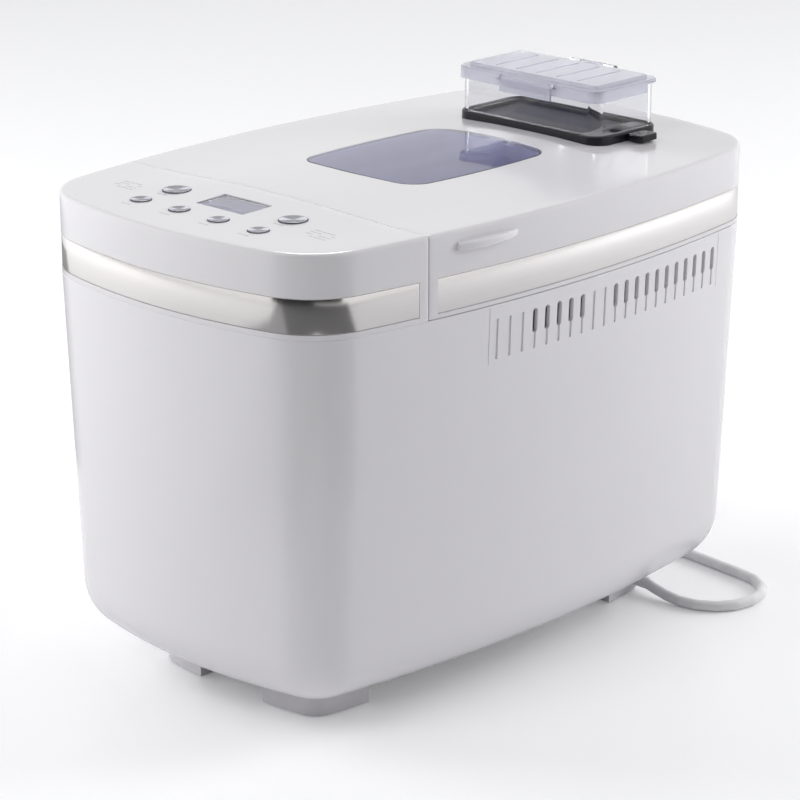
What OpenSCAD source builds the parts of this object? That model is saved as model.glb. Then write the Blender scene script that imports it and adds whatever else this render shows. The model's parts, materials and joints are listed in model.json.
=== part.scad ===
// Bread machine with a rear-hinged lid, a viewing window, a fruit and nut dispenser on the
// lid, and a long pan with two kneading paddles driven by belts from one motor.
// Origin: centre of the footprint on the worktop. +X is the right-hand side, -Y the end with
// the control panel, +Y the end with the lid hinge, +Z up. All sizes are in millimetres.

/* [Casing] */
// Width of the casing at the seam under the lid
body_w = 262; // [256:1:268]
// Length of the casing at the seam, control panel end to hinge end
body_l = 413; // [407:1:419]
// Corner radius of the casing in plan
corner_r = 45; // [43:1:50]
// How far the long sides bow outwards
side_bow = 22.5; // [18:0.5:26]
// How far the two ends bow outwards
end_bow = 25; // [20:0.5:29]
// Height of the seam between the casing and the top pieces
seam_z = 247; // [244:1:252]
// Inward lean of the casing wall, in mm for each mm of height
draft = 0.036; // [0.02:0.002:0.04]
// Radius between the wall and the underside
bottom_r = 34.5; // [30:0.5:36]
// Height of the underside above the worktop
clearance_under = 21.5; // [19:0.5:25]
// Wall of the casing and of the top pieces
wall = 2.6; // [2.2:0.1:3]

/* [Top pieces] */
// Height of the top edge above the seam
top_h = 49; // [46:1:54]
// Rise of the crowned top above its edge
crown = 3; // [2:0.2:4]
// Radius of the top edge
edge_r = 2.4; // [1.5:0.1:4]
// Length of the fixed control panel end
panel_l = 93; // [90:1:96]
// Gap between the lid and the fixed pieces around it
lid_gap = 0.6; // [0.4:0.1:1]
// Height of the steel trim band
band_h = 20; // [16:1:24]
// Distance of the trim band above the seam
band_rise = 3.4; // [2.5:0.1:6]
// Thickness of the trim band
band_t = 0.8; // [0.5:0.1:1.2]
// Distance from the lid's front edge to the end of each trim band
band_end = 6.6; // [5:0.2:10]
// Length of each finger lip on the lid
lip_l = 50; // [40:1:60]
// How far each finger lip stands out
lip_out = 5; // [3:0.5:7]
// Distance of the finger lips behind the lid's front edge
lip_back = 20; // [14:1:30]

/* [Window] */
// Width of the viewing window
window_w = 101; // [92:1:106]
// Length of the viewing window
window_l = 127; // [116:1:130]
// Corner radius of the window
window_r = 17; // [12:1:22]
// Place of the window's middle along the length
window_y = 13; // [10:1:16]
// Thickness of the window panes
pane_t = 2.4; // [2:0.1:3]

/* [Dispenser] */
// Width of the dispenser's dark base
disp_w = 120; // [114:1:124]
// Depth of the dispenser's dark base
disp_d = 61; // [58:1:66]
// Place of the dispenser's middle along the length
disp_y = 133; // [130:1:136]
// Height of the dispenser's base
disp_base_h = 6; // [5:0.5:8]
// Height of the clear box over its seat
hopper_h = 26; // [20:1:32]
// Wall of the clear box
hopper_wall = 2; // [1.5:0.1:2.5]
// Depth of the cover's skirt
cover_skirt_h = 5.6; // [4.6:0.2:7]
// Width of the dispenser's drop flap
flap_w = 92; // [84:1:94]
// Depth of the drop flap
flap_d = 44; // [38:1:45]
// Thickness of the drop flap
flap_t = 2.4; // [2:0.1:3]

/* [Control panel] */
// Radius of the two large keys
big_key_r = 8.2; // [7:0.1:9]
// Radius of the four small keys
small_key_r = 6; // [5:0.1:7]
// Distance of each large key from the middle
big_key_x = 48.5; // [46:0.5:52]
// Distance of the large keys and the display from the lid seam
key_row_far = 30.5; // [28:0.5:33]
// Distance of the small keys from the lid seam
key_row_near = 57.5; // [55:0.5:60]
// Spacing of the small keys
small_key_pitch = 32.6; // [30:0.2:34]
// How far a key stands proud
key_proud = 1.1; // [0.8:0.1:2]
// Travel of a key
key_travel = 1; // [0.6:0.1:1.2]
// Width of the display
lcd_w = 38.6; // [34:0.2:42]
// Depth of the display
lcd_d = 22.4; // [18:0.2:24]

/* [Vents] */
// Number of vent slots on each side
vent_n = 21; // [15:1:21]
// Spacing of the vent slots
vent_pitch = 10.2; // [9.6:0.1:10.6]
// Width of a vent slot
vent_w = 3.8; // [3:0.1:4.5]
// Width of a groove between and under the slots
groove_w = 1.8; // [1.2:0.1:2.4]
// Height of the slots with their grooves
vent_h = 24; // [20:0.5:26]
// Height of the open part of a slot
vent_open_h = 14.5; // [12:0.5:16]
// Distance of the slots below the seam
vent_drop = 8.6; // [7:0.2:12]
// Place of the first slot along the length
vent_start = -61.8; // [-66:0.2:-58]

/* [Baking chamber] */
// Distance from the casing's widest sides in to the steel chamber
chamber_side = 36; // [34:0.5:38]
// Distance from the lid's front seam back to the steel chamber
chamber_behind = 15.5; // [14:0.5:17]
// Distance from the casing's hinge end in to the steel chamber
chamber_rear = 44.5; // [42:0.5:47]
// Sheet thickness of the chamber
chamber_t = 1; // [0.8:0.1:1.4]
// Height of the chamber's floor above the worktop
chamber_z = 60.5; // [60:0.5:62]
// Radius of the heating tube
heater_r = 3.3; // [2.8:0.1:3.6]
// Height of the heating tube above the worktop
heater_z = 96; // [92:1:104]

/* [Pan] */
// Gap between the pan's rim and each side of the chamber
pan_side = 19; // [17:0.5:21]
// Gap between the pan's rim and each end of the chamber
pan_end = 12; // [11:0.5:14]
// Inside depth of the pan
pan_h = 110; // [100:1:114]
// Wall of the pan
pan_wall = 2; // [1.5:0.1:2.5]
// How much each pan wall leans in towards the floor
pan_lean = 5; // [3:0.5:7]
// Height of the pan's floor underside above the worktop
pan_z = 86; // [85:0.5:88]
// Radius of the pan's wire handle
handle_r = 2.5; // [2:0.1:2.8]
// How far each paddle shaft stands in from a quarter of the pan's length
shaft_shift = 3; // [1:0.5:5]
// Gap between a kneading paddle's tip and the side of the pan's rim
paddle_side = 33; // [30:1:38]

/* [Drive] */
// Radius of the drive shafts
drive_r = 5; // [4:0.1:5.5]
// Radius of the paddle shafts
paddle_shaft_r = 4.5; // [4:0.1:5]
// Groove radius of the large driven pulley
big_pulley_r = 48; // [44:1:50]
// Groove radius of the motor pulley
motor_pulley_r = 9.6; // [8.8:0.1:10.4]
// Groove radius of the two linking pulleys
link_pulley_r = 18; // [15:1:21]
// Width of the belts
belt_w = 7; // [6:0.5:7.5]
// Thickness of the belts
belt_t = 2.4; // [2:0.1:3]
// Radius of the motor's can
motor_r = 37; // [34:1:38]
// Height of the motor's can
motor_h = 70; // [60:1:76]
// Gap between the motor's can and the baking chamber
motor_gap = 11; // [10.5:0.5:12]

/* [Feet and mains lead] */
// Inset of the feet from the casing's edge at the seam
foot_inset = 52.8; // [51:0.2:56]
// Width of the feet's wall in plan
foot_t = 17; // [14:1:20]
// Thickness of the rubber pads
pad_h = 2; // [1.5:0.1:3]
// Diameter of the mains lead
cord_d = 7; // [6:0.1:7.5]
// Radius of the plug's face
plug_r = 18.5; // [17:0.5:20]
// Length of the plug's body
plug_l = 45; // [40:1:50]

/* [Clearances] */
// Gap between neighbouring pieces that only lie beside each other
fit_gap = 0.3; // [0.2:0.05:0.4]
// Radial gap of a running fit
run_gap = 0.05; // [0.02:0.01:0.08]

/* [Hidden] */
$fn = 48;
arc_n = 8;
eps = 0.01;

// Levels
top_z = seam_z + top_h;
far = 2 * (body_l + top_z);
lid_bottom = seam_z + 0.5;
split_y = -body_l / 2 + panel_l;
lid_front = split_y + lid_gap / 2;
housing_back = split_y - lid_gap / 2;
bend_z = clearance_under + bottom_r;
bend_inset = draft * (seam_z - bend_z) + bottom_r;
base_floor_z = clearance_under + wall;
base_open_inset = bend_inset + 8;
base_plate_inset = bend_inset + 1.2;
base_plate_t = 2.5;
base_top = base_floor_z + base_plate_t;
deck_t = 2.4;
deck_top = seam_z - 3.5;
liner_t = 1;
liner_z = seam_z + 3.5;
crown_start = 20;
crown_flat = 11;
crown_run = body_w / 2 - crown_start - crown_flat;

// Shared places
window_half = [window_w / 2, window_l / 2];
window_bow = [4, 5];
hinge_y = body_l / 2 + 2.2;
hinge_z = seam_z + 2.5;
hinge_pin_r = 1.75;
hinge_barrel_r = 3.5;
hinge_x = 48;
hinge_knuckle = 16;
hinge_ear = 7;
hinge_foot_h = 12;
lid_gap_side = 0.4;

disp_seat_z = top_z + 1;
disp_top_z = disp_seat_z + disp_base_h;
disp_r = 12;
hopper_w = disp_w - 7;
hopper_d = disp_d - 4;
hopper_r = 7;
hopper_seat = 2;
hopper_z = disp_top_z - hopper_seat;
hopper_top = disp_top_z + hopper_h;
cover_w = hopper_w + 5;
cover_d = hopper_d + 5;
cover_wall = 2;
cover_r = 9;
cover_top_t = 2.2;
cover_z = hopper_top + 0.4;
cover_pin_r = 1;
cover_barrel_r = 2.5;
cover_hinge_y = disp_y + hopper_d / 2 + 5.6;
cover_hinge_z = cover_z + 0.6;
cover_ear = 9;
cover_ear_x = 14;
cover_cut = 14;
clasp_w = 42;
clasp_x = 2;
clasp_t = 1.8;
clasp_h = 9;
clasp_barrel_r = 1.2;
clasp_pin_r = 0.7;
clasp_ear = 2.4;
clasp_axis_y = disp_y - cover_d / 2 - 1.5;
clasp_axis_z = cover_z + 0.4;
flap_left = -52;
flap_mid = flap_left + flap_w / 2;
flap_side = 0.4;
flap_pin_r = 1.1;
flap_pin_y = disp_y + flap_d / 2 + 1;
flap_z = disp_seat_z + 0.5;
flap_axis_z = flap_z + flap_t / 2;
chute_wall = 1.5;
chute_in = [flap_w + 6, flap_d + 5];
chute_r = 6;
chute_z = liner_z + liner_t;
latch_x = 40.8;
latch_y = disp_y + 4;
latch_w = 14;
latch_t = 1.8;
latch_z = disp_seat_z + 1.2;
latch_grip = 12;

board_z = seam_z + 32.5;
board_t = 1.6;
board_post_r = 3;
board_post_x = big_key_x + 19.5;
switch_h = 3.5;
key_flange_gap = 0.8;
key_flange_t = 1.2;
key_flange_w = 1.3;
lens_t = 1.4;
lcd_under = 1.6;
lip_h = 5;
lip_drop = 7;
well_in = 3;
well_t = 1.5;
well_top = top_z - 1.2;
big_key_y = split_y - key_row_far;
small_key_y = split_y - key_row_near;
key_rows = [[-big_key_x, big_key_y, big_key_r], [big_key_x, big_key_y, big_key_r],
    for (i = [0:3]) [(i - 1.5) * small_key_pitch, small_key_y, small_key_r]];

chamber_w = body_w - 2 * chamber_side;
chamber_l = body_l - panel_l - chamber_behind - chamber_rear;
chamber_front = split_y + chamber_behind;
pan_y = chamber_front + chamber_l / 2;
chamber_r = 26;
chamber_flange = 8;
chamber_flange_t = 0.8;
gasket_w = 5;

pan_w = chamber_w - 2 * pan_side;
pan_l = chamber_l - 2 * pan_end;
shaft_out = pan_l / 4 - shaft_shift;
paddle_reach = pan_w / 2 - paddle_side;
pan_floor = pan_z + pan_wall;
pan_rim_z = pan_floor + pan_h;
pan_r = 28;
pan_rim = 3;
pan_foot_w = pan_w - 48;
pan_foot_l = pan_l - 54;
pan_foot_wall = 2;
pan_ear_w = 16;
pan_ear_t = 2;
pan_pivot_z = pan_rim_z + 5;
pan_end_y = pan_l / 2;
handle_y = pan_end_y + 4.5;
handle_x = pan_w / 2 + 5;
handle_bend = 10;
grip_r = 5;
grip_l = 90;
clip_w = 26;
clip_t = 1;
clip_h = 16;
clip_foot = 12;
pan_foot_h = pan_z - chamber_z - chamber_t - fit_gap;
seal_r = 8;
paddle_hub_h = 18;
sensor_r = 3;
sensor_x = chamber_w / 2 - chamber_r - 24;
sensor_z = 122;
heater_bend = 22;
heater_leg_x = 20;
heater_clip_w = 12;
heater_clip_y = 60;
heater_clip_drop = 3;

belt_gap = 0.3;
pulley_rim = 3;
pulley_rim_t = 1.2;
belt_z = base_top + 6;
link_belt_z = belt_z + belt_w + 5.5;
chassis_t = 2.5;
chassis_z = chamber_z - chassis_t;
chassis_inset = 17;
leg_r = 6;
leg_x = body_w / 2 - foot_inset - 16.2;
leg_y = body_l / 2 - foot_inset - 32.7;
screw_r = 2;
tower_r = 13;
tower_top = chamber_z + 11.5;
bush_r = 8;
bush_bottom = chassis_z - 3.5;
dog_z = tower_top + 1;
dog_plate_t = 2;
dog_lug_h = 4.6;
dog_r = 11;
front_shaft_y = pan_y - shaft_out;
rear_shaft_y = pan_y + shaft_out;
motor_y = chamber_front - motor_gap - motor_r;
motor_mount_h = 3.5;
motor_z = chassis_z + chassis_t + motor_mount_h;
motor_shaft_r = 4;
motor_hole_r = 16;
power_size = [36, 56];
power_at = [motor_r + 11, motor_y - 24];
power_hole = 3;
power_lift = 5;
coil_box = [24, 20, 20];
relay_box = [16, 12, 15];

foot_r = 15;
foot_lift = 0.8;
foot_at = [body_w / 2 - foot_inset - 18.2, body_l / 2 - foot_inset - 13.7];
foot_box = [66, 62];
pad_r = 5.5;
pad_at = [body_w / 2 - foot_inset - 21.2, body_l / 2 - foot_inset - 14.7];
screw_head_h = 2.4;
screw_head_r = 3.8;
screw_head_z = 14;
screw_grip = 12;

cord_r = cord_d / 2;
cord_lie = cord_r + 0.1;
gland_at = [body_w / 2 - foot_inset - 11.2, body_l / 2 - foot_inset - 12.2, 7];
gland_turn = -10;
gland_r = 4.5;
gland_in = 12;
gland_out = 10;
cord_sides = 8;
coil_at = [-35, body_l / 2 + 45.5];
coil_in = 31.5;
coil_out = 45.5;
coil_high = 13.1;
// The lead's points from the gland, round the casing's rear corner and on to the coil
lead_near = [[9.8, -1.7, 0], [19, -3.3, -1.2], [29, -4.3, -2.6], [39.5, -4.5, -3.4]];
lead_round = [[-12.1, -67], [-1.5, -60], [5.5, -49.4], [8, -37], [5.5, -24.6], [-1.5, -14], [-12.1, -7],
    [-24.5, -4.5]];
lead_far = [[125, -48.5], [100, -46], [75, -43.8], [50, -42.4], [25, -42], [15, -42]];
lead_points = concat([for (p = lead_near) gland_at + p],
    [for (p = lead_round) [body_w / 2 + p[0], body_l / 2 + p[1], cord_lie]],
    [for (p = lead_far) [coil_at[0] + p[0], coil_at[1] + p[1], cord_lie]]);
// The lead's points from the coil on to the plug, counted from the coil's middle
lead_last = [[-14, -41.7, 10.8], [-23, -40.9, 10.4], [-32, -38.9, 8.8], [-41, -35.7, 6.4], [-50, -31.6, 4.5],
    [-58.4, -26.2, 3.6], [-65.6, -19.6, 3.6], [-71.4, -12, 3.7], [-75, -5.2, 4.5], [-76.5, 1, 6.3]];
tail_points = [for (p = lead_last) [coil_at[0] + p[0], coil_at[1] + p[1], p[2]]];
plug_at = [coil_at[0] - 76.5, coil_at[1], 5.9];
plug_tilt = 22;
plug_pin_r = 2.4;
plug_pin_out = 19;
plug_pin_gap = 19;

// A vector without its first element
function rest(v) = [for (i = [1:len(v) - 1]) v[i]];

// Points of an arc about c
function arc(c, r, a0, a1, n) =
    [for (i = [0:n]) let (a = a0 + (a1 - a0) * i / n) [c[0] + r * cos(a), c[1] + r * sin(a)]];

// The right-hand meeting point of two circles, seen from the first centre to the second
function meet(p, rp, q, rq) =
    let (v = q - p, d = norm(v), m = (d * d + rp * rp - rq * rq) / (2 * d))
    let (h = sqrt(rp * rp - m * m), u = v / d)
    p + m * u + h * [-u[1], u[0]];

// A rectangle of half sizes a and b with bowed sides and round corners, drawn d inside itself
function bowed(a, b, bow_a, bow_b, r, d = 0) =
    let (r1 = (b * b + bow_a * bow_a) / (2 * bow_a), r2 = (a * a + bow_b * bow_b) / (2 * bow_b))
    let (rc = max(r - d, 2), p = [a - r1, 0], q = [0, b - r2])
    let (c = meet(p, r1 - d - rc, q, r2 - d - rc))
    let (a1 = atan2(c[1], c[0] - p[0]), a2 = atan2(c[1] - q[1], c[0]))
    let (last = arc([c[0], -c[1]], rc, 360 - a2, 360 - a1, arc_n))
    concat(arc(p, r1 - d, -a1, a1, arc_n),
        rest(arc(c, rc, a1, a2, arc_n)),
        rest(arc(q, r2 - d, a2, 180 - a2, arc_n)),
        rest(arc([-c[0], c[1]], rc, 180 - a2, 180 - a1, arc_n)),
        rest(arc([-p[0], 0], r1 - d, 180 - a1, 180 + a1, arc_n)),
        rest(arc([-c[0], -c[1]], rc, 180 + a1, 180 + a2, arc_n)),
        rest(arc([0, -q[1]], r2 - d, 180 + a2, 360 - a2, arc_n)),
        [for (i = [1:arc_n - 1]) last[i]]);

// The casing's outline, d inside its edge at the seam
function casing(d = 0) = bowed(body_w / 2, body_l / 2, side_bow, end_bow, corner_r, d);

// The window's outline, d inside its edge
function window(d = 0) = bowed(window_half[0], window_half[1], window_bow[0], window_bow[1], window_r, d);

// Height of the crowned top at a distance d inside its edge
function crown_z(d) =
    let (t = min(max((d - crown_start) / crown_run, 0), 1)) top_z + crown * t * t * (3 - 2 * t);

// Distance of a point on the top inside the casing's edge
function edge_inset(x, y) =
    let (a = body_w / 2, b = body_l / 2)
    let (r1 = (b * b + side_bow * side_bow) / (2 * side_bow))
    let (r2 = (a * a + end_bow * end_bow) / (2 * end_bow))
    min(r1 - norm([abs(x) - (a - r1), y]), r2 - norm([x, abs(y) - (b - r2)]));

// Height of the top's surface over a point
function surface_z(x, y) = crown_z(edge_inset(x, y));

// One closed solid through outlines of equal point counts, lowest first
module loft(rings) {
    n = len(rings[0]);
    m = len(rings);
    polyhedron(
        points = [for (ring = rings) each ring],
        faces = concat(
            [[for (i = [0:n - 1]) i]],
            [[for (i = [n - 1:-1:0]) (m - 1) * n + i]],
            [for (j = [0:m - 2], i = [0:n - 1]) [j * n + i, (j + 1) * n + i, (j + 1) * n + (i + 1) % n]],
            [for (j = [0:m - 2], i = [0:n - 1]) [j * n + i, (j + 1) * n + (i + 1) % n, j * n + (i + 1) % n]]
        ),
        convexity = 4
    );
}

// An outline lifted to a height
function at_height(outline, z) = [for (p = outline) [p[0], p[1], z]];

// The solid inside the casing's outline at listed [height, inset] levels
module casing_loft(levels) {
    loft([for (l = levels) at_height(casing(l[1]), l[0])]);
}

// The casing's outline as a plate
module casing_plate(d, z, h) {
    translate([0, 0, z]) linear_extrude(h) polygon(casing(d));
}

// The window's outline as a plate
module window_plate(d, z, h) {
    translate([0, window_y, z]) linear_extrude(h) polygon(window(d));
}

// A rectangle with round corners
module round_rect(w, l, r) {
    square([w - 2 * r, l], center = true);
    square([w, l - 2 * r], center = true);
    for (x = [-1, 1], y = [-1, 1]) translate([x * (w / 2 - r), y * (l / 2 - r)]) circle(r);
}

// A plate with round corners
module round_plate(w, l, r, h) {
    linear_extrude(h) round_rect(w, l, r);
}

// An upright frame with round corners
module round_frame(w, l, r, t, h) {
    linear_extrude(h) difference() {
        round_rect(w, l, r);
        round_rect(w - 2 * t, l - 2 * t, r - t);
    }
}

// Everything behind (or in front of) a line across the casing
module half_space(y, side) {
    translate([-far / 2, side > 0 ? y : y - far, -far / 2]) cube(far);
}

// A cylinder along X, centred on x
module rod_x(r, l, x, y, z) {
    translate([x, y, z]) rotate([0, 90, 0]) cylinder(r = r, h = l, center = true);
}

// A cylinder along Y, centred on y
module rod_y(r, l, x, y, z) {
    translate([x, y, z]) rotate([90, 0, 0]) cylinder(r = r, h = l, center = true);
}

// Levels of the casing's wall, t inside the outside face
function wall_levels(t) = concat(
    [for (i = [0:6]) let (a = 90 - 15 * i, r = bottom_r - t) [bend_z - r * sin(a), bend_inset - r * cos(a)]],
    [[seam_z + (t > 0 ? 1 : 0), t]]
);

// Levels of the crowned top block, t inside the outside face
function top_levels(t, low) = concat(
    [[low, t]],
    [for (a = [0, 30, 60, 90]) let (r = max(edge_r - t, 0.6))
        [top_z - t - r + r * sin(a), t + r - r * cos(a)]],
    [for (part = [0, 0.25, 0.5, 0.75, 0.95]) let (d = crown_start + part * crown_run) [crown_z(d) - t, d]]
);

// The block that the lid and the control panel end are cut from
module top_block(t, low) {
    casing_loft(top_levels(t, low));
}

// The recess of the trim band
module band_recess() {
    difference() {
        casing_plate(-2, seam_z + band_rise - 0.2, band_h + 0.4);
        casing_plate(band_t + 0.3, seam_z + band_rise - 1, band_h + 2);
    }
}

// The trim band itself, all round
module band_ring() {
    difference() {
        casing_plate(0.2, seam_z + band_rise, band_h);
        casing_plate(0.2 + band_t, seam_z + band_rise - 1, band_h + 2);
    }
}

// ---- Casing ----

// Half width of the casing at a distance y from its middle
function half_width(y) =
    let (b = body_l / 2, r1 = (b * b + side_bow * side_bow) / (2 * side_bow))
    body_w / 2 - r1 + sqrt(r1 * r1 - y * y);

// True where a vent slot is open and not only a groove
function slot_open(i) = (i >= 3 && i <= 7) || i >= 10;

// Vent slots of one side: grooves in the face, with the open ones cut through
module vent_cuts(side) {
    groove = 1;
    for (i = [0:vent_n - 1]) {
        y = vent_start + i * vent_pitch;
        face = half_width(y) - draft * (vent_drop + vent_h / 2);
        depth = slot_open(i) ? wall + 4 : groove;
        top = seam_z - vent_drop;
        slot_h = slot_open(i) ? vent_open_h : vent_h;
        width = slot_open(i) ? vent_w : groove_w;
        translate([side * face, y, top - slot_h / 2]) cube([2 * depth, width, slot_h], center = true);
        if (slot_open(i))
            translate([side * face, y, top - (vent_open_h + vent_h) / 2])
                cube([2 * groove, groove_w, vent_h - vent_open_h], center = true);
    }
}

module body_shell() {
    color("whitesmoke") difference() {
        casing_loft(wall_levels(0));
        casing_loft(wall_levels(wall));
        casing_plate(base_open_inset, clearance_under - 1, wall + 2);
        for (side = [-1, 1]) vent_cuts(side);
    }
}

module base_plate() {
    slots = 5;
    color("gainsboro") difference() {
        casing_plate(base_plate_inset, base_floor_z, base_plate_t);
        for (x = [-1, 1], y = [-1, 1])
            translate([x * leg_x, y * leg_y, base_floor_z - 1])
                cylinder(r = screw_r + 0.2, h = base_plate_t + 2);
        for (i = [0:slots - 1])
            translate([0, motor_y + 24 + i * 8, base_floor_z]) cube([44, 3, 8], center = true);
    }
}

// The outline of the feet, d inside their outer face
function foot_line(d = 0) =
    let (a = body_w / 2 - foot_inset, b = body_l / 2 - foot_inset)
    bowed(a, b, side_bow * pow(2 * b / body_l, 2), end_bow * pow(2 * a / body_w, 2), foot_r, d);

module foot_plate(d, z, h) {
    translate([0, 0, z]) linear_extrude(h) polygon(foot_line(d));
}

// The round pads under the feet, g larger all round
module pad_places(g) {
    for (x = [-1, 1], y = [-1, 1])
        translate([x * pad_at[0], y * pad_at[1], 0]) cylinder(r = pad_r + g, h = pad_h);
}

// The bore of the mains lead's gland through a foot
module gland_bore(r) {
    translate(gland_at) rotate([0, 90, gland_turn]) cylinder(r = r, h = 60, center = true);
}

module feet() {
    color("whitesmoke") difference() {
        intersection() {
            difference() {
                foot_plate(0, foot_lift, base_floor_z - foot_lift);
                foot_plate(foot_t, 0, base_floor_z + 1);
            }
            for (x = [-1, 1], y = [-1, 1])
                translate([x * foot_at[0], y * foot_at[1], 15])
                    cube([foot_box[0], foot_box[1], 40], center = true);
        }
        pad_places(fit_gap);
        gland_bore(gland_r + 0.1);
        for (x = [-1, 1], y = [-1, 1]) translate([x * leg_x, y * leg_y, 0]) {
            cylinder(r = screw_head_r + fit_gap, h = screw_head_z);
            cylinder(r = screw_r + 0.1, h = base_top);
        }
    }
}

module foot_pads() {
    color("dimgray") pad_places(0);
}

module base_screws() {
    color("silver") for (x = [-1, 1], y = [-1, 1]) translate([x * leg_x, y * leg_y, 0]) {
        translate([0, 0, screw_head_z - screw_head_h]) cylinder(r = screw_head_r, h = screw_head_h);
        translate([0, 0, screw_head_z - eps]) cylinder(r = screw_r, h = base_top + screw_grip - screw_head_z);
    }
}

// ---- Control panel end ----

// Holes of the keys and the display through the top
module panel_holes() {
    for (k = key_rows) translate([k[0], k[1], board_z]) cylinder(r = k[2] + fit_gap, h = top_h);
    translate([0, big_key_y, board_z]) linear_extrude(top_h)
        square([lcd_w + 2 * fit_gap, lcd_d + 2 * fit_gap], center = true);
}

module panel_housing() {
    color("whitesmoke") {
        difference() {
            intersection() {
                top_block(0, seam_z);
                half_space(housing_back, -1);
            }
            intersection() {
                top_block(wall, seam_z - 1);
                half_space(housing_back - wall, -1);
            }
            panel_holes();
            intersection() {
                band_recess();
                half_space(split_y - band_end + 0.2, -1);
            }
        }
        for (x = [-1, 1], y = [small_key_y + 6, housing_back - 16])
            translate([x * board_post_x, y, board_z + board_t])
                cylinder(r = board_post_r, h = surface_z(board_post_x, y) - wall / 2 - board_z - board_t);
    }
}

module front_band() {
    color("lightgray") intersection() {
        band_ring();
        half_space(split_y - band_end, -1);
    }
}

// A key: its cap and flange over a stem that ends just above its switch
module key(k) {
    top = surface_z(k[0], k[1]);
    flange_top = top - wall - key_flange_gap;
    switch_top = board_z + board_t + switch_h;
    color("silver") translate([k[0], k[1], 0]) {
        translate([0, 0, flange_top - eps]) cylinder(r = k[2], h = top + key_proud - flange_top - k[2] * 0.1);
        translate([0, 0, top + key_proud - k[2] * 0.1 - eps])
            cylinder(r1 = k[2], r2 = k[2] * 0.7, h = k[2] * 0.1);
        translate([0, 0, flange_top - key_flange_t]) cylinder(r = k[2] + key_flange_w, h = key_flange_t);
        translate([0, 0, switch_top + key_travel + 0.2])
            cylinder(r = 2.2, h = flange_top - switch_top - key_travel - 0.2 - eps);
    }
}

module key_large_left() { key(key_rows[0]); }

module key_large_right() { key(key_rows[1]); }

module key_small_1() { key(key_rows[2]); }

module key_small_2() { key(key_rows[3]); }

module key_small_3() { key(key_rows[4]); }

module key_small_4() { key(key_rows[5]); }

module lcd_lens() {
    z = surface_z(lcd_w / 2, big_key_y - lcd_d / 2) - 0.2;
    color("lightslategray") translate([-lcd_w / 2, big_key_y - lcd_d / 2, z - lens_t])
        cube([lcd_w, lcd_d, lens_t]);
}

module lcd_module() {
    z = surface_z(lcd_w / 2, big_key_y - lcd_d / 2) - 0.2 - lens_t;
    color("darkseagreen") translate([-lcd_w / 2 - 1, big_key_y - lcd_d / 2 - 1, board_z + board_t])
        cube([lcd_w + 2, lcd_d + 2, z - lcd_under - board_z - board_t]);
    color("darkseagreen") translate([-lcd_w / 2 + 1, big_key_y - lcd_d / 2 + 1, z - lcd_under - eps])
        cube([lcd_w - 2, lcd_d - 2, lcd_under + eps]);
}

module control_board() {
    color("seagreen") {
        translate([-board_post_x - 6, small_key_y - 6, board_z])
            cube([2 * board_post_x + 12, housing_back - 4 - small_key_y, board_t]);
        for (k = key_rows) translate([k[0], k[1], board_z + board_t - eps])
            linear_extrude(switch_h + eps) square(6, center = true);
        translate([-14, small_key_y + 2, board_z - 3]) cube([28, 14, 3 + eps]);
    }
}

// ---- Lid ----

// The finger lip of one side
module finger_lip(side) {
    mid = lid_front + lip_back + lip_l / 2;
    r = (lip_l * lip_l / 4 + lip_out * lip_out) / (2 * lip_out);
    face = half_width(mid);
    translate([side * (face + lip_out - r), mid, top_z - lip_drop - lip_h]) intersection() {
        cylinder(r = r, h = lip_h, $fn = 180);
        translate([side > 0 ? r - lip_out - wall : -r, -lip_l / 2, 0]) cube([wall + lip_out, lip_l, lip_h]);
    }
}

// The barrels and webs that hang the lid on its pins
module lid_knuckles() {
    for (x = [-1, 1]) {
        rod_x(hinge_barrel_r, hinge_knuckle, x * hinge_x, hinge_y, hinge_z);
        translate([x * hinge_x - hinge_knuckle / 2, body_l / 2 - 4.8, lid_bottom])
            cube([hinge_knuckle, hinge_y - body_l / 2 + 4.8, hinge_z + hinge_barrel_r - lid_bottom]);
    }
}

module lid_shell() {
    color("whitesmoke") difference() {
        union() {
            difference() {
                intersection() {
                    top_block(0, lid_bottom);
                    half_space(lid_front, 1);
                }
                intersection() {
                    top_block(wall, lid_bottom - 1);
                    half_space(lid_front + wall, 1);
                }
                intersection() {
                    band_recess();
                    half_space(split_y + band_end - 0.2, 1);
                }
            }
            for (side = [-1, 1]) finger_lip(side);
            lid_knuckles();
        }
        for (x = [-1, 1]) rod_x(hinge_pin_r + run_gap, hinge_knuckle + 2, x * hinge_x, hinge_y, hinge_z);
        window_plate(-fit_gap, seam_z + 20, top_h);
        translate([0, disp_y, disp_seat_z]) round_plate(disp_w + 0.4, disp_d + 0.4, disp_r + 0.2, 20);
        translate([flap_mid, disp_y, seam_z + 20])
            round_plate(chute_in[0] + 2 * chute_wall + 0.4, chute_in[1] + 2 * chute_wall + 0.4, chute_r, top_h);
    }
}

module lid_band() {
    color("lightgray") difference() {
        intersection() {
            band_ring();
            half_space(split_y + band_end, 1);
        }
        for (x = [-1, 1]) translate([x * hinge_x, body_l / 2, seam_z])
            cube([hinge_knuckle + 2 * hinge_ear + 4, 40, 20], center = true);
    }
}

module lid_liner() {
    color("silver") difference() {
        intersection() {
            casing_plate(wall + 0.2, liner_z, liner_t);
            half_space(lid_front + wall + 0.2, 1);
        }
        window_plate(well_in + 4, liner_z - 1, liner_t + 2);
        translate([flap_mid, disp_y, liner_z - 1])
            round_plate(chute_in[0], chute_in[1], chute_r - chute_wall, liner_t + 2);
    }
}

module lid_gasket() {
    low = deck_top + chamber_flange_t + fit_gap;
    w = chamber_w + 2 * gasket_w;
    l = chamber_l + 2 * gasket_w;
    color("dimgray") translate([0, pan_y, low])
        round_frame(w, l, chamber_r + gasket_w, gasket_w, liner_z - low);
}

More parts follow.
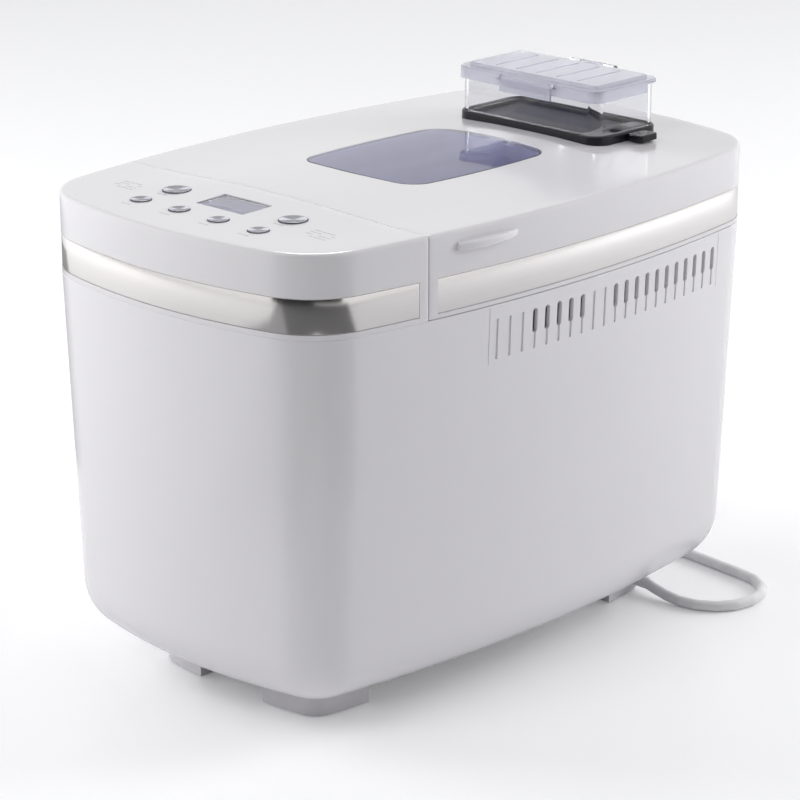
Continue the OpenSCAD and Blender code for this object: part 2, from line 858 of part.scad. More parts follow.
module window_outer() {
    color("lightsteelblue", 0.5) intersection() {
        difference() {
            top_block(0, seam_z + 20);
            translate([0, 0, -pane_t]) top_block(0, seam_z + 10);
        }
        window_plate(0, seam_z + 20, top_h);
    }
}

module window_inner() {
    color("lightsteelblue", 0.5) window_plate(well_in + 0.3, chute_z, pane_t);
}

module window_well() {
    color("silver") difference() {
        window_plate(well_in - well_t, chute_z, well_top - chute_z);
        window_plate(well_in, chute_z - 1, well_top - chute_z + 2);
    }
}

module hinge_brackets() {
    offset_x = (hinge_knuckle + hinge_ear) / 2 + lid_gap_side;
    color("gainsboro") difference() {
        for (x = [-1, 1], e = [-1, 1]) {
            mid = x * hinge_x + e * offset_x;
            rod_x(hinge_barrel_r, hinge_ear, mid, hinge_y, hinge_z);
            translate([mid - hinge_ear / 2, hinge_y - hinge_barrel_r, seam_z - hinge_foot_h])
                cube([hinge_ear, 2 * hinge_barrel_r, hinge_foot_h + hinge_z - seam_z]);
            translate([mid - hinge_ear / 2, body_l / 2 - 12, seam_z - hinge_foot_h])
                cube([hinge_ear, 14, hinge_foot_h - 0.8]);
        }
        for (x = [-1, 1]) rod_x(hinge_pin_r + run_gap, 60, x * hinge_x, hinge_y, hinge_z);
        casing_loft([[seam_z - 30, draft * 30 - 0.15], [seam_z + 10, -0.15 - draft * 10]]);
    }
}

module hinge_pins() {
    color("silver") for (x = [-1, 1])
        rod_x(hinge_pin_r, hinge_knuckle + 2 * hinge_ear + 2, x * hinge_x, hinge_y, hinge_z);
}

// ---- Dispenser ----

module dispenser_base() {
    floor_top = disp_top_z - 1;
    color("#33313a") difference() {
        translate([0, disp_y, disp_seat_z]) round_plate(disp_w, disp_d, disp_r, disp_base_h);
        translate([0, disp_y, hopper_z])
            round_frame(hopper_w + 0.4, hopper_d + 0.4, hopper_r + 0.2, hopper_wall + 0.4, 9);
        translate([0, disp_y, floor_top])
            round_plate(hopper_w - 2 * hopper_wall, hopper_d - 2 * hopper_wall, hopper_r - hopper_wall, 9);
        translate([flap_left - flap_side, flap_pin_y - flap_d - 0.5, disp_seat_z - 1])
            cube([flap_w + 2 * flap_side, flap_d + 2.2, 20]);
        translate([latch_x + 9.5, disp_y - 3, floor_top - 1.2]) cylinder(r = 5, h = 4);
        translate([latch_x - 6, latch_y - latch_w / 2 - fit_gap, latch_z - fit_gap])
            cube([60, latch_w + 2 * fit_gap, latch_t + 2 * fit_gap]);
        rod_x(flap_pin_r + run_gap, flap_w + 6, flap_mid, flap_pin_y, flap_axis_z);
    }
}

module dispenser_chute() {
    w = chute_in[0] + 2 * chute_wall;
    l = chute_in[1] + 2 * chute_wall;
    color("dimgray") translate([flap_mid, disp_y, chute_z])
        round_frame(w, l, chute_r, chute_wall, disp_seat_z - chute_z);
}

module dispenser_hopper() {
    color("azure", 0.35) {
        translate([0, disp_y, hopper_z])
            round_frame(hopper_w, hopper_d, hopper_r, hopper_wall, hopper_top - hopper_z);
        for (x = [-1, 1]) difference() {
            union() {
                rod_x(cover_barrel_r, cover_ear, x * cover_ear_x, cover_hinge_y, cover_hinge_z);
                translate([x * cover_ear_x - cover_ear / 2, disp_y + hopper_d / 2 - 1, hopper_top - 7])
                    cube([cover_ear, cover_hinge_y + cover_barrel_r - disp_y - hopper_d / 2 + 1, 5]);
                translate([x * cover_ear_x - cover_ear / 2, cover_hinge_y - 1.5, hopper_top - 5])
                    cube([cover_ear, 3, cover_hinge_z - hopper_top + 4.5]);
            }
            rod_x(cover_pin_r + run_gap, cover_ear + 2, x * cover_ear_x, cover_hinge_y, cover_hinge_z);
        }
    }
}

module dispenser_cover() {
    knuckle_w = 2 * cover_ear_x - cover_ear - 0.8;
    color("azure", 0.35) difference() {
        union() {
            translate([0, disp_y, cover_z]) round_plate(cover_w, cover_d, cover_r, cover_top_t);
            translate([0, disp_y, cover_z + cover_top_t - eps])
                round_plate(cover_w - 12, cover_d - 14, 6, 2);
            difference() {
                translate([0, disp_y, cover_z + eps - cover_skirt_h])
                    round_frame(cover_w, cover_d, cover_r, cover_wall, cover_skirt_h);
                translate([0, disp_y + cover_d / 2, cover_z - 10])
                    cube([2 * cover_w, 2 * cover_cut, 20], center = true);
            }
            rod_x(cover_barrel_r, knuckle_w, 0, cover_hinge_y, cover_hinge_z);
            translate([-knuckle_w / 2, disp_y + cover_d / 2 - 2, cover_z])
                cube([knuckle_w, cover_hinge_y - disp_y - cover_d / 2 + 2, cover_top_t]);
            for (e = [-1, 1]) {
                ear_x = clasp_x + e * (clasp_w / 2 + clasp_ear / 2 + fit_gap);
                rod_x(1.7, clasp_ear, ear_x, clasp_axis_y, clasp_axis_z);
                translate([ear_x - clasp_ear / 2, clasp_axis_y, clasp_axis_z - 1.7])
                    cube([clasp_ear, 2.5, 3.4]);
            }
        }
        rod_x(cover_pin_r + run_gap, knuckle_w + 2, 0, cover_hinge_y, cover_hinge_z);
        rod_x(clasp_pin_r + run_gap, clasp_w + 10, clasp_x, clasp_axis_y, clasp_axis_z);
    }
}

module cover_pin() {
    color("silver") rod_x(cover_pin_r, 2 * cover_ear_x + cover_ear, 0, cover_hinge_y, cover_hinge_z);
}

module cover_clasp() {
    color("azure", 0.35) {
        translate([clasp_x - clasp_w / 2, clasp_axis_y - clasp_t / 2, clasp_axis_z - clasp_h])
            cube([clasp_w, clasp_t, clasp_h]);
        rod_x(clasp_barrel_r, clasp_w, clasp_x, clasp_axis_y, clasp_axis_z);
        rod_x(clasp_pin_r, clasp_w + 4, clasp_x, clasp_axis_y, clasp_axis_z);
    }
}

module dispenser_flap() {
    color("#4b4854") {
        translate([flap_left, flap_pin_y - flap_d, flap_z]) cube([flap_w, flap_d, flap_t]);
        rod_x(flap_t / 2, flap_w, flap_mid, flap_pin_y, flap_axis_z);
        rod_x(flap_pin_r, flap_w + 5, flap_mid, flap_pin_y, flap_axis_z);
    }
}

module flap_latch() {
    color("#2a2930") {
        translate([latch_x, latch_y - latch_w / 2, latch_z])
            cube([disp_w / 2 + fit_gap + latch_grip - latch_x, latch_w, latch_t]);
        translate([disp_w / 2 + 0.6, latch_y - latch_w / 2 - 1, latch_z - 0.2])
            cube([latch_grip, latch_w + 2, 4]);
    }
}

// ---- Baking chamber ----

module deck_plate() {
    color("whitesmoke") difference() {
        casing_plate(wall + fit_gap, deck_top - deck_t, deck_t);
        translate([0, pan_y, deck_top - deck_t - 1])
            round_plate(chamber_w + 2 * chamber_t + 0.4, chamber_l + 2 * chamber_t + 0.4,
                chamber_r + chamber_t, deck_t + 2);
    }
}

module chamber() {
    outer_w = chamber_w + 2 * chamber_t;
    outer_l = chamber_l + 2 * chamber_t;
    color("silver") difference() {
        union() {
            translate([0, pan_y, chamber_z])
                round_plate(outer_w, outer_l, chamber_r + chamber_t, deck_top + chamber_flange_t - chamber_z);
            translate([0, pan_y, deck_top])
                round_plate(outer_w + 2 * chamber_flange, outer_l + 2 * chamber_flange,
                    chamber_r + chamber_flange, chamber_flange_t);
        }
        translate([0, pan_y, chamber_z + chamber_t]) round_plate(chamber_w, chamber_l, chamber_r, seam_z);
        for (y = [front_shaft_y, rear_shaft_y])
            translate([0, y, chamber_z - 1]) cylinder(r = tower_r + fit_gap, h = 10);
        rod_y(sensor_r + 0.1, 20, sensor_x, pan_y - chamber_l / 2, sensor_z);
        for (x = [-1, 1]) rod_y(heater_r + 0.4, 20, x * heater_leg_x, pan_y - chamber_l / 2, heater_z);
    }
}

// Half sizes of the heating tube's centre line
heater_half = [chamber_w / 2 - 11, chamber_l / 2 - 8.5];

module heater() {
    a = heater_half[0];
    b = heater_half[1];
    r = heater_bend;
    wall_y = pan_y - chamber_l / 2;
    color("dimgray") {
        for (x = [-1, 1]) rod_y(heater_r, 2 * (b - r), x * a, pan_y, heater_z);
        rod_x(heater_r, 2 * (a - r), 0, pan_y + b, heater_z);
        for (x = [-1, 1], y = [-1, 1])
            translate([x * (a - r), pan_y + y * (b - r), heater_z])
                rotate([0, 0, x > 0 ? (y > 0 ? 0 : 270) : (y > 0 ? 90 : 180)])
                    rotate_extrude(angle = 90) translate([r, 0]) circle(heater_r);
        for (x = [-1, 1]) {
            rod_x(heater_r, a - r - heater_leg_x, x * (a - r + heater_leg_x) / 2, pan_y - b, heater_z);
            translate([x * heater_leg_x, pan_y - b, heater_z]) sphere(heater_r);
            translate([x * heater_leg_x, pan_y - b, heater_z]) rotate([90, 0, 0])
                cylinder(r = heater_r, h = pan_y - b - wall_y + 10);
        }
    }
}

module heater_clips() {
    inner = heater_half[0] + heater_r + 0.1;
    hook = heater_half[0] - heater_r + 0.3;
    wall_x = chamber_w / 2 - 0.1;
    low = heater_z - heater_r - heater_clip_drop;
    color("silver") for (x = [-1, 1], y = [-1, 1])
        translate([x > 0 ? inner : -wall_x, pan_y + y * heater_clip_y - heater_clip_w / 2, low])
            cube([wall_x - inner, heater_clip_w, 2 * (heater_r + heater_clip_drop)]);
    color("silver") for (x = [-1, 1], y = [-1, 1])
        translate([x > 0 ? hook : -wall_x, pan_y + y * heater_clip_y - heater_clip_w / 2, low])
            cube([wall_x - hook, heater_clip_w, heater_clip_drop - 0.2]);
}

module temp_sensor() {
    wall_y = pan_y - chamber_l / 2 - chamber_t;
    color("silver") {
        rod_y(sensor_r, 18, sensor_x, wall_y - 5 + 9, sensor_z);
        rod_y(7, 1.5, sensor_x, wall_y - 0.8, sensor_z);
    }
}

// ---- Chassis and drive ----

module chassis() {
    color("darkgray") difference() {
        union() {
            casing_plate(chassis_inset, chassis_z, chassis_t);
            for (x = [-1, 1], y = [-1, 1])
                translate([x * leg_x, y * leg_y, base_top]) cylinder(r = leg_r, h = chassis_z - base_top + eps);
            for (y = [front_shaft_y, rear_shaft_y])
                translate([0, y, bush_bottom]) cylinder(r = tower_r, h = tower_top - bush_bottom);
        }
        for (x = [-1, 1], y = [-1, 1])
            translate([x * leg_x, y * leg_y, base_top - 1]) cylinder(r = screw_r + 0.05, h = screw_grip + 2);
        for (y = [front_shaft_y, rear_shaft_y])
            translate([0, y, bush_bottom - 1]) cylinder(r = bush_r + run_gap, h = tower_top - bush_bottom + 2);
        translate([0, motor_y, chassis_z - 1]) cylinder(r = motor_hole_r, h = chassis_t + 2);
    }
}

module drive_bushes() {
    color("goldenrod") for (y = [front_shaft_y, rear_shaft_y]) translate([0, y, bush_bottom]) difference() {
        cylinder(r = bush_r, h = tower_top - bush_bottom);
        translate([0, 0, -1]) cylinder(r = drive_r + run_gap, h = tower_top - bush_bottom + 2);
    }
}

module motor() {
    color("slategray") translate([0, motor_y, motor_z]) {
        difference() {
            union() {
                cylinder(r = motor_r, h = motor_h);
                translate([0, 0, -2]) cylinder(r = motor_hole_r - 2, h = 2 + eps);
                for (a = [90, 210, 330]) rotate([0, 0, a]) translate([motor_r + 2, 0, 0])
                    cylinder(r = 7, h = 2.5);
                translate([0, 0, motor_h - eps]) cylinder(r = 12, h = 5);
            }
            translate([0, 0, -3]) cylinder(r = motor_shaft_r + run_gap, h = 26);
        }
    }
}

module motor_mounts() {
    color("black") for (a = [90, 210, 330])
        translate([0, motor_y, motor_z - motor_mount_h]) rotate([0, 0, a]) translate([motor_r + 2, 0, 0])
            cylinder(r = 6, h = motor_mount_h);
}

// A grooved pulley on the z axis for a belt at height z
module pulley(r, z) {
    h = belt_w + 1;
    translate([0, 0, z - h / 2]) cylinder(r = r, h = h);
    for (s = [-1, 1]) translate([0, 0, z + s * (h + pulley_rim_t) / 2 - pulley_rim_t / 2 - s * eps])
        cylinder(r = r + pulley_rim, h = pulley_rim_t);
}

// A closed belt round two pulleys on the y axis
module belt(y1, r1, y2, r2, z) {
    color("#222222") translate([0, 0, z - belt_w / 2]) linear_extrude(belt_w) difference() {
        hull() {
            translate([0, y1]) circle(r1 + belt_gap + belt_t);
            translate([0, y2]) circle(r2 + belt_gap + belt_t);
        }
        hull() {
            translate([0, y1]) circle(r1 + belt_gap);
            translate([0, y2]) circle(r2 + belt_gap);
        }
    }
}

module motor_pulley() {
    color("silver") translate([0, motor_y, 0]) {
        pulley(motor_pulley_r, belt_z);
        translate([0, 0, belt_z - 6]) cylinder(r = motor_shaft_r, h = motor_z + 20 - belt_z);
    }
}

module drive_belt() {
    belt(motor_y, motor_pulley_r, front_shaft_y, big_pulley_r, belt_z);
}

module link_belt() {
    belt(front_shaft_y, link_pulley_r, rear_shaft_y, link_pulley_r, link_belt_z);
}

// The driving half of a paddle coupling: a disc with two lugs
module drive_dog() {
    translate([0, 0, dog_z]) cylinder(r = dog_r, h = dog_plate_t);
    for (x = [-1, 1]) translate([x * (dog_r - 2.4), 0, dog_z + dog_plate_t + dog_lug_h / 2 - eps])
        cube([4, 8, dog_lug_h], center = true);
}

module drive_shaft(y) {
    color("silver") translate([0, y, 0]) {
        translate([0, 0, belt_z - 5]) cylinder(r = drive_r, h = dog_z - belt_z + 5 + eps);
        pulley(link_pulley_r, link_belt_z);
        drive_dog();
    }
}

module drive_shaft_front() {
    drive_shaft(front_shaft_y);
    color("silver") translate([0, front_shaft_y, 0]) pulley(big_pulley_r, belt_z);
}

module drive_shaft_rear() {
    drive_shaft(rear_shaft_y);
}

// ---- Pan ----

// The pan's outline at a height above its floor, t inside its outer face
function pan_line(h, t) =
    let (lean = pan_lean * (1 - h / (pan_h + pan_wall)))
    bowed(pan_w / 2 - pan_rim - lean, pan_l / 2 - pan_rim - lean, 0.5, 0.5, pan_r - lean / 2, t);

module pan() {
    h = pan_h + pan_wall;
    color("dimgray") difference() {
        union() {
            translate([0, pan_y, pan_z]) loft([at_height(pan_line(0, 3), 0), at_height(pan_line(3, 0), 3),
                at_height(pan_line(h, 0), h)]);
            translate([0, pan_y, pan_rim_z - 1.5]) round_plate(pan_w, pan_l, pan_r + pan_rim, 1.5);
            for (y = [-1, 1]) {
                mid = pan_y + y * (pan_end_y - pan_ear_t / 2);
                translate([-pan_ear_w / 2, mid - pan_ear_t / 2, pan_rim_z - 1])
                    cube([pan_ear_w, pan_ear_t, pan_pivot_z - pan_rim_z + 1]);
                rod_y(pan_ear_w / 2, pan_ear_t, 0, mid, pan_pivot_z);
            }
            translate([0, pan_y, pan_z - pan_foot_h])
                round_frame(pan_foot_w, pan_foot_l, 20, pan_foot_wall, pan_foot_h + 1);
        }
        translate([0, pan_y, pan_z]) loft([at_height(pan_line(0, pan_wall + 3), pan_wall),
            at_height(pan_line(3, pan_wall), pan_wall + 3), at_height(pan_line(h, pan_wall), h + 0.5)]);
        for (y = [front_shaft_y, rear_shaft_y])
            translate([0, y, pan_z - 1]) cylinder(r = seal_r + 0.02, h = 8);
        for (y = [-1, 1]) rod_y(handle_r + 0.15, 12, 0, pan_y + y * pan_end_y, pan_pivot_z);
    }
}

module pan_seals() {
    color("goldenrod") for (y = [front_shaft_y, rear_shaft_y]) translate([0, y, 0]) difference() {
        union() {
            translate([0, 0, pan_z - 3]) cylinder(r = seal_r, h = pan_wall + 6);
            translate([0, 0, pan_z - 3]) cylinder(r = seal_r + 3, h = 3 - 0.02);
        }
        translate([0, 0, pan_z - 5]) cylinder(r = paddle_shaft_r + run_gap, h = 20);
    }
}

// A paddle shaft with the driven bar of its coupling
module paddle_shaft(y) {
    low = dog_z + dog_plate_t + 0.5;
    color("silver") translate([0, y, 0]) {
        translate([0, 0, low]) cylinder(r = paddle_shaft_r, h = pan_floor + paddle_hub_h + 2 - low);
        translate([0, 0, low + 1.8]) cube([5, 2 * dog_r - 3, 3.6], center = true);
    }
}

// A kneading paddle: a hub with a leaning blade
module paddle(y) {
    z = pan_floor + 3.6;
    color("dimgray") translate([0, y, z]) difference() {
        union() {
            cylinder(r = paddle_shaft_r + 3, h = paddle_hub_h - 2);
            linear_extrude(3) polygon([[-6, -4], [paddle_reach * 0.7, -9], [paddle_reach - 4, -6],
                [paddle_reach - 2, 0], [paddle_reach * 0.6, 6], [-4, 6]]);
            translate([0, -2, 0]) rotate([90, 0, 0]) linear_extrude(3, center = true)
                polygon([[0, 0], [paddle_reach - 3, 0], [paddle_reach - 9, 14], [paddle_reach * 0.4, 20],
                    [0, 18]]);
        }
        translate([0, 0, -1]) cylinder(r = paddle_shaft_r + run_gap, h = paddle_hub_h + 10);
    }
}

module paddle_shaft_front() { paddle_shaft(front_shaft_y); }

module paddle_shaft_rear() { paddle_shaft(rear_shaft_y); }

module paddle_front() { paddle(front_shaft_y); }

module paddle_rear() { paddle(rear_shaft_y); }

module pan_handle() {
    r = handle_bend;
    color("silver") {
        for (y = [-1, 1]) {
            rod_y(handle_r, handle_y - pan_end_y + 5, 0, pan_y + y * (handle_y + pan_end_y - 5) / 2,
                pan_pivot_z);
            translate([0, pan_y + y * handle_y, pan_pivot_z]) sphere(handle_r);
            rod_x(handle_r, handle_x - r, (handle_x - r) / 2, pan_y + y * handle_y, pan_pivot_z);
            translate([handle_x - r, pan_y + y * (handle_y - r), pan_pivot_z])
                rotate([0, 0, y > 0 ? 0 : 270]) rotate_extrude(angle = 90) translate([r, 0]) circle(handle_r);
        }
        rod_y(handle_r, 2 * (handle_y - r), handle_x, pan_y, pan_pivot_z);
        rod_y(grip_r, grip_l, handle_x, pan_y, pan_pivot_z);
    }
}

module pan_clips() {
    x0 = pan_foot_w / 2 + 0.4;
    z0 = chamber_z + chamber_t;
    color("silver") for (x = [-1, 1]) {
        translate([x > 0 ? x0 : -x0 - clip_t, pan_y - clip_w / 2, z0]) cube([clip_t, clip_w, clip_h]);
        translate([x > 0 ? x0 : -x0 - clip_foot, pan_y - clip_w / 2, z0]) cube([clip_foot, clip_w, clip_t]);
    }
}

module power_board() {
    low = chassis_z + chassis_t;
    top = low + power_lift + board_t - eps;
    color("seagreen") translate([power_at[0], power_at[1], 0]) {
        translate([0, 0, low + power_lift]) cube([power_size[0], power_size[1], board_t]);
        for (x = [power_hole, power_size[0] - power_hole], y = [power_hole, power_size[1] - power_hole])
            translate([x, y, low]) cylinder(r = 2.5, h = power_lift + eps);
        translate([5, 8, top]) cube(coil_box);
        translate([8, 36, top]) cube(relay_box);
    }
}

// ---- Mains lead ----

module cord_gland() {
    color("lightgray") translate(gland_at) rotate([0, 90, gland_turn]) {
        translate([0, 0, -gland_in]) cylinder(r = gland_r, h = gland_in + eps);
        cylinder(r1 = gland_r, r2 = cord_r + 0.4, h = gland_out);
    }
}

// Rings of points round a route, each square to the route
function tube_rings(p, r, n) = [for (i = [0:len(p) - 1])
    let (a = p[max(i - 1, 0)], b = p[min(i + 1, len(p) - 1)])
    let (t = (b - a) / norm(b - a), side = [t[1], -t[0], 0] / norm([t[1], -t[0], 0]))
    let (up = cross(side, t))
    [for (j = [0:n - 1]) let (g = 360 / n * (j + 0.5)) p[i] + r * (cos(g) * side + sin(g) * up)]];

// A tube swept along a route
module tube(p, r) {
    loft(tube_rings(p, r, cord_sides));
}

module cord() {
    color("gainsboro") {
        tube(lead_points, cord_r);
        tube(tail_points, cord_r);
    }
}

module cord_coil() {
    color("gainsboro") translate([coil_at[0], coil_at[1], 0]) rotate_extrude()
        polygon([[coil_in, 0.1], [coil_out, 0.1], [coil_out, cord_d], [coil_out - cord_r, cord_d + 1],
            [coil_out - cord_r, coil_high], [coil_in + cord_r, coil_high], [coil_in + cord_r, cord_d + 1],
            [coil_in, cord_d]]);
}

module plug() {
    color("whitesmoke") translate(plug_at) rotate([-90 + plug_tilt, 0, 0]) {
        rotate_extrude() polygon([[0, 0], [5, 0], [6.5, 14], [12, 20], [plug_r - 2, 27], [plug_r, 31],
            [plug_r, plug_l - 2], [plug_r - 1.5, plug_l], [0, plug_l]]);
        for (x = [-1, 1]) translate([x * plug_pin_gap / 2, 0, plug_l - eps])
            cylinder(r = plug_pin_r, h = plug_pin_out);
    }
}

body_shell();
base_plate();
feet();
foot_pads();
base_screws();
panel_housing();
front_band();
lid_shell();
lid_band();
lid_liner();
lid_gasket();
window_outer();
window_inner();
window_well();
hinge_brackets();
hinge_pins();
dispenser_base();
dispenser_chute();
dispenser_hopper();
dispenser_cover();
cover_pin();
cover_clasp();
dispenser_flap();
flap_latch();
key_large_left();
key_large_right();
key_small_1();
key_small_2();
key_small_3();
key_small_4();
lcd_lens();
lcd_module();
control_board();
deck_plate();
chamber();
heater();
heater_clips();
temp_sensor();
chassis();
drive_bushes();
motor();
motor_mounts();
motor_pulley();
drive_belt();
drive_shaft_front();
drive_shaft_rear();
link_belt();
pan();
pan_seals();
paddle_shaft_front();
paddle_shaft_rear();
paddle_front();
paddle_rear();
pan_handle();
pan_clips();
power_board();
cord_gland();
cord();
cord_coil();
plug();
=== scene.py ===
"""The looks of a bread machine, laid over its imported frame.

Every piece stands where the frame says. Lengths are in metres, +Z is up, -Y is
the end with the control panel and +X is the right-hand side.
"""

from __future__ import annotations

import json
import logging
import math
from dataclasses import dataclass
from enum import Enum
from typing import Callable, Iterable, Optional, Sequence

import bmesh
import bpy
from mathutils import Matrix, Vector
from mathutils.bvhtree import BVHTree
from mathutils.geometry import barycentric_transform

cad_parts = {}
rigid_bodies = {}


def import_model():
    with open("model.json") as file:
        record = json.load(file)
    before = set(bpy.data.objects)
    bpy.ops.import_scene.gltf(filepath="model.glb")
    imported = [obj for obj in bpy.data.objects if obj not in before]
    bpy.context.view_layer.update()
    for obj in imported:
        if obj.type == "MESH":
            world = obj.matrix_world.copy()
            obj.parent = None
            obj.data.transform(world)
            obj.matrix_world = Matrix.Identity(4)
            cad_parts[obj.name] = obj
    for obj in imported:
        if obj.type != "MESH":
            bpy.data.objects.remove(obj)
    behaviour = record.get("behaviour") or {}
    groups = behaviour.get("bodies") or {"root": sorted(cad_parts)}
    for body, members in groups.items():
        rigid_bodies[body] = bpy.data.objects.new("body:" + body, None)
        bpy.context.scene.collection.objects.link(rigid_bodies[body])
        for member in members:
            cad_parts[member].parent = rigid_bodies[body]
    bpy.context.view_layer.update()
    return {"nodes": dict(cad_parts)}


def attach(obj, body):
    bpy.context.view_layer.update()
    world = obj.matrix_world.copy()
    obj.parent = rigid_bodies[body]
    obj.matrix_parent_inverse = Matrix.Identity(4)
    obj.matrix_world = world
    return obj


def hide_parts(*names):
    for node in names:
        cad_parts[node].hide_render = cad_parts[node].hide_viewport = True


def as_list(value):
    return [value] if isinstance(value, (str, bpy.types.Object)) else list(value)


Thing = bpy.types.Object
Socket = bpy.types.NodeSocket
Point = tuple[float, float]
Level = tuple[float, float]
Color = tuple[float, float, float]
Points = Sequence[Sequence[float]]

LOG = logging.getLogger("bread_machine")
MM = 0.001
SMOOTH_ANGLE = 32.0
OVER_LID = 0.32
LONG_BORE = 0.06
WHITE = (1.0, 1.0, 1.0, 1.0)

for leftover in list(bpy.data.objects):
    bpy.data.objects.remove(leftover)

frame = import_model()


class Body(Enum):
    """The rigid bodies that the pieces ride on."""

    BASE = "base"
    LID = "lid"
    COVER = "cover"
    CLASP = "clasp"
    FLAP = "flap"
    LATCH = "latch"
    PAN = "pan_body"
    HANDLE = "handle"
    LEFT_KEY = "left_key"
    RIGHT_KEY = "right_key"
    KEY_1 = "key_1"
    KEY_2 = "key_2"
    KEY_3 = "key_3"
    KEY_4 = "key_4"


class Slot(Enum):
    """The record's material slots."""

    CASING = "casing_white"
    TRIM = "trim_steel"
    KEY = "key_chrome"
    DISPLAY_GLASS = "display_glass"
    DISPLAY_CELL = "display_cell"
    WINDOW = "window_glass"
    DARK = "dark_plastic"
    CLEAR = "clear_plastic"
    PIN = "steel_pin"
    SHEET = "sheet_steel"
    CHASSIS = "chassis_paint"
    HEATER = "heater_black"
    MOTOR = "motor_steel"
    BUSH = "bush_brass"
    NONSTICK = "nonstick"
    HANDLE = "handle_steel"
    RUBBER = "black_rubber"
    GASKET = "gasket_grey"
    BOARD = "board_green"
    CORD = "cord_grey"


class Cut(Enum):
    """What a boolean does with its tool."""

    TAKE = "DIFFERENCE"
    JOIN = "UNION"
    KEEP = "INTERSECT"


# Finishes


class Tree:
    """A node tree, with short calls for making and joining nodes."""

    def __init__(self, tree: bpy.types.NodeTree) -> None:
        """Take hold of a tree."""
        self.tree = tree

    def add(self, kind: str, **settings: object) -> bpy.types.Node:
        """Add a node.

        Args:
            kind: The node's type.
            settings: Its properties, or its sockets by name with _ for a blank.

        Returns:
            The new node.
        """
        node = self.tree.nodes.new(kind)
        for key, value in settings.items():
            if hasattr(node, key):
                setattr(node, key, value)
            else:
                node.inputs[key.replace("_", " ")].default_value = value
        return node

    def join(self, source: Socket, target: Socket) -> None:
        """Link an output to an input."""
        self.tree.links.new(source, target)


class Nodes(Tree):
    """A material's nodes, round its main shader."""

    def __init__(self, name: str) -> None:
        """Start a material with its output and its main shader."""
        self.material = bpy.data.materials.new(name)
        self.material.use_nodes = True
        super().__init__(self.material.node_tree)
        self.shader = self.tree.nodes["Principled BSDF"]
        self.output = self.tree.nodes["Material Output"]

    def place(self, stretch: Sequence[float] = (1.0, 1.0, 1.0)) -> Socket:
        """Give the object's coordinates, stretched along each axis."""
        where = self.add("ShaderNodeTexCoord")
        mapping = self.add("ShaderNodeMapping")
        mapping.inputs["Scale"].default_value = stretch
        self.join(where.outputs["Object"], mapping.inputs["Vector"])
        return mapping.outputs["Vector"]

    def noise(
        self, scale: float, detail: float = 4.0, stretch: Sequence[float] = (1.0, 1.0, 1.0)
    ) -> Socket:
        """Give a noise pattern in the object's own coordinates.

        Args:
            scale: Features per metre.
            detail: Octaves.
            stretch: Stretch along each axis.

        Returns:
            The pattern's value.
        """
        node = self.add("ShaderNodeTexNoise", Scale=scale, Detail=detail)
        self.join(self.place(stretch), node.inputs["Vector"])
        return node.outputs["Fac"]

    def span(self, value: Socket, low: float, high: float) -> Socket:
        """Map a 0 to 1 value to a range."""
        node = self.add("ShaderNodeMapRange", To_Min=low, To_Max=high)
        self.join(value, node.inputs["Value"])
        return node.outputs["Result"]

    def blend(self, value: Socket, first: Color, second: Color) -> Socket:
        """Mix two colours by a value."""
        node = self.add("ShaderNodeMix", data_type="RGBA")
        self.join(value, node.inputs[0])
        node.inputs[6].default_value = (*first, 1.0)
        node.inputs[7].default_value = (*second, 1.0)
        return node.outputs[2]

    def tone(self, value: Socket, first: Color, second: Color) -> None:
        """Colour the surface between two colours by a value."""
        self.join(self.blend(value, first, second), self.shader.inputs["Base Color"])

    def shade(self, value: Socket, color: Color, low: float, high: float) -> None:
        """Colour the surface between two strengths of one colour by a value."""
        self.tone(value, shifted(color, low), shifted(color, high))

    def gloss(self, value: Socket, low: float, high: float) -> None:
        """Vary the surface's roughness between two limits by a value."""
        self.join(self.span(value, low, high), self.shader.inputs["Roughness"])

    def bump(self, value: Socket, depth: float, strength: float = 1.0) -> None:
        """Raise the surface by a value, depth metres from low to high."""
        node = self.add("ShaderNodeBump", Strength=strength, Distance=depth)
        self.join(value, node.inputs["Height"])
        self.join(node.outputs["Normal"], self.shader.inputs["Normal"])

    def fix(self, **sockets: object) -> None:
        """Set the main shader's own sockets, with _ for a blank in their names."""
        for key, value in sockets.items():
            self.shader.inputs[key.replace("_", " ")].default_value = value


@dataclass(frozen=True)
class Finish:
    """A finish: its slot, colour and gloss."""

    title: str
    slot: Slot
    color: Color
    roughness: float

    def material(self) -> bpy.types.Material:
        """Give the finish's material, made on first use."""
        made = bpy.data.materials.get(self.title)
        if made is not None:
            return made
        nodes = Nodes(self.title)
        nodes.fix(Base_Color=(*self.color, 1.0), Roughness=self.roughness)
        self.paint(nodes)
        return nodes.material

    def paint(self, nodes: Nodes) -> None:
        """Add what sets this finish apart."""


def eased(part: float) -> float:
    """Ease a part from 0 to 1 in and out, held at its ends."""
    part = min(max(part, 0.0), 1.0)
    return part * part * (3 - 2 * part)


def shifted(color: Color, factor: float) -> Color:
    """Scale a colour, kept at 1 or less."""
    return tuple(min(1.0, channel * factor) for channel in color)


@dataclass(frozen=True)
class Moulded(Finish):
    """Moulded plastic: a faint orange peel and slow drifts of gloss."""

    peel: float = 0.000004
    peel_scale: float = 700.0
    drift: float = 0.05
    coat: float = 0.0
    level: float = 0.5

    def paint(self, nodes: Nodes) -> None:
        """Add the peel, the drifts and a clear coat."""
        nodes.shade(nodes.noise(9.0, 3.0), self.color, 0.985, 1.01)
        nodes.gloss(nodes.noise(30.0), self.roughness - self.drift, self.roughness + self.drift)
        nodes.fix(Coat_Weight=self.coat, Coat_Roughness=0.06, Specular_IOR_Level=self.level)
        nodes.bump(nodes.noise(self.peel_scale, 2.0), self.peel)


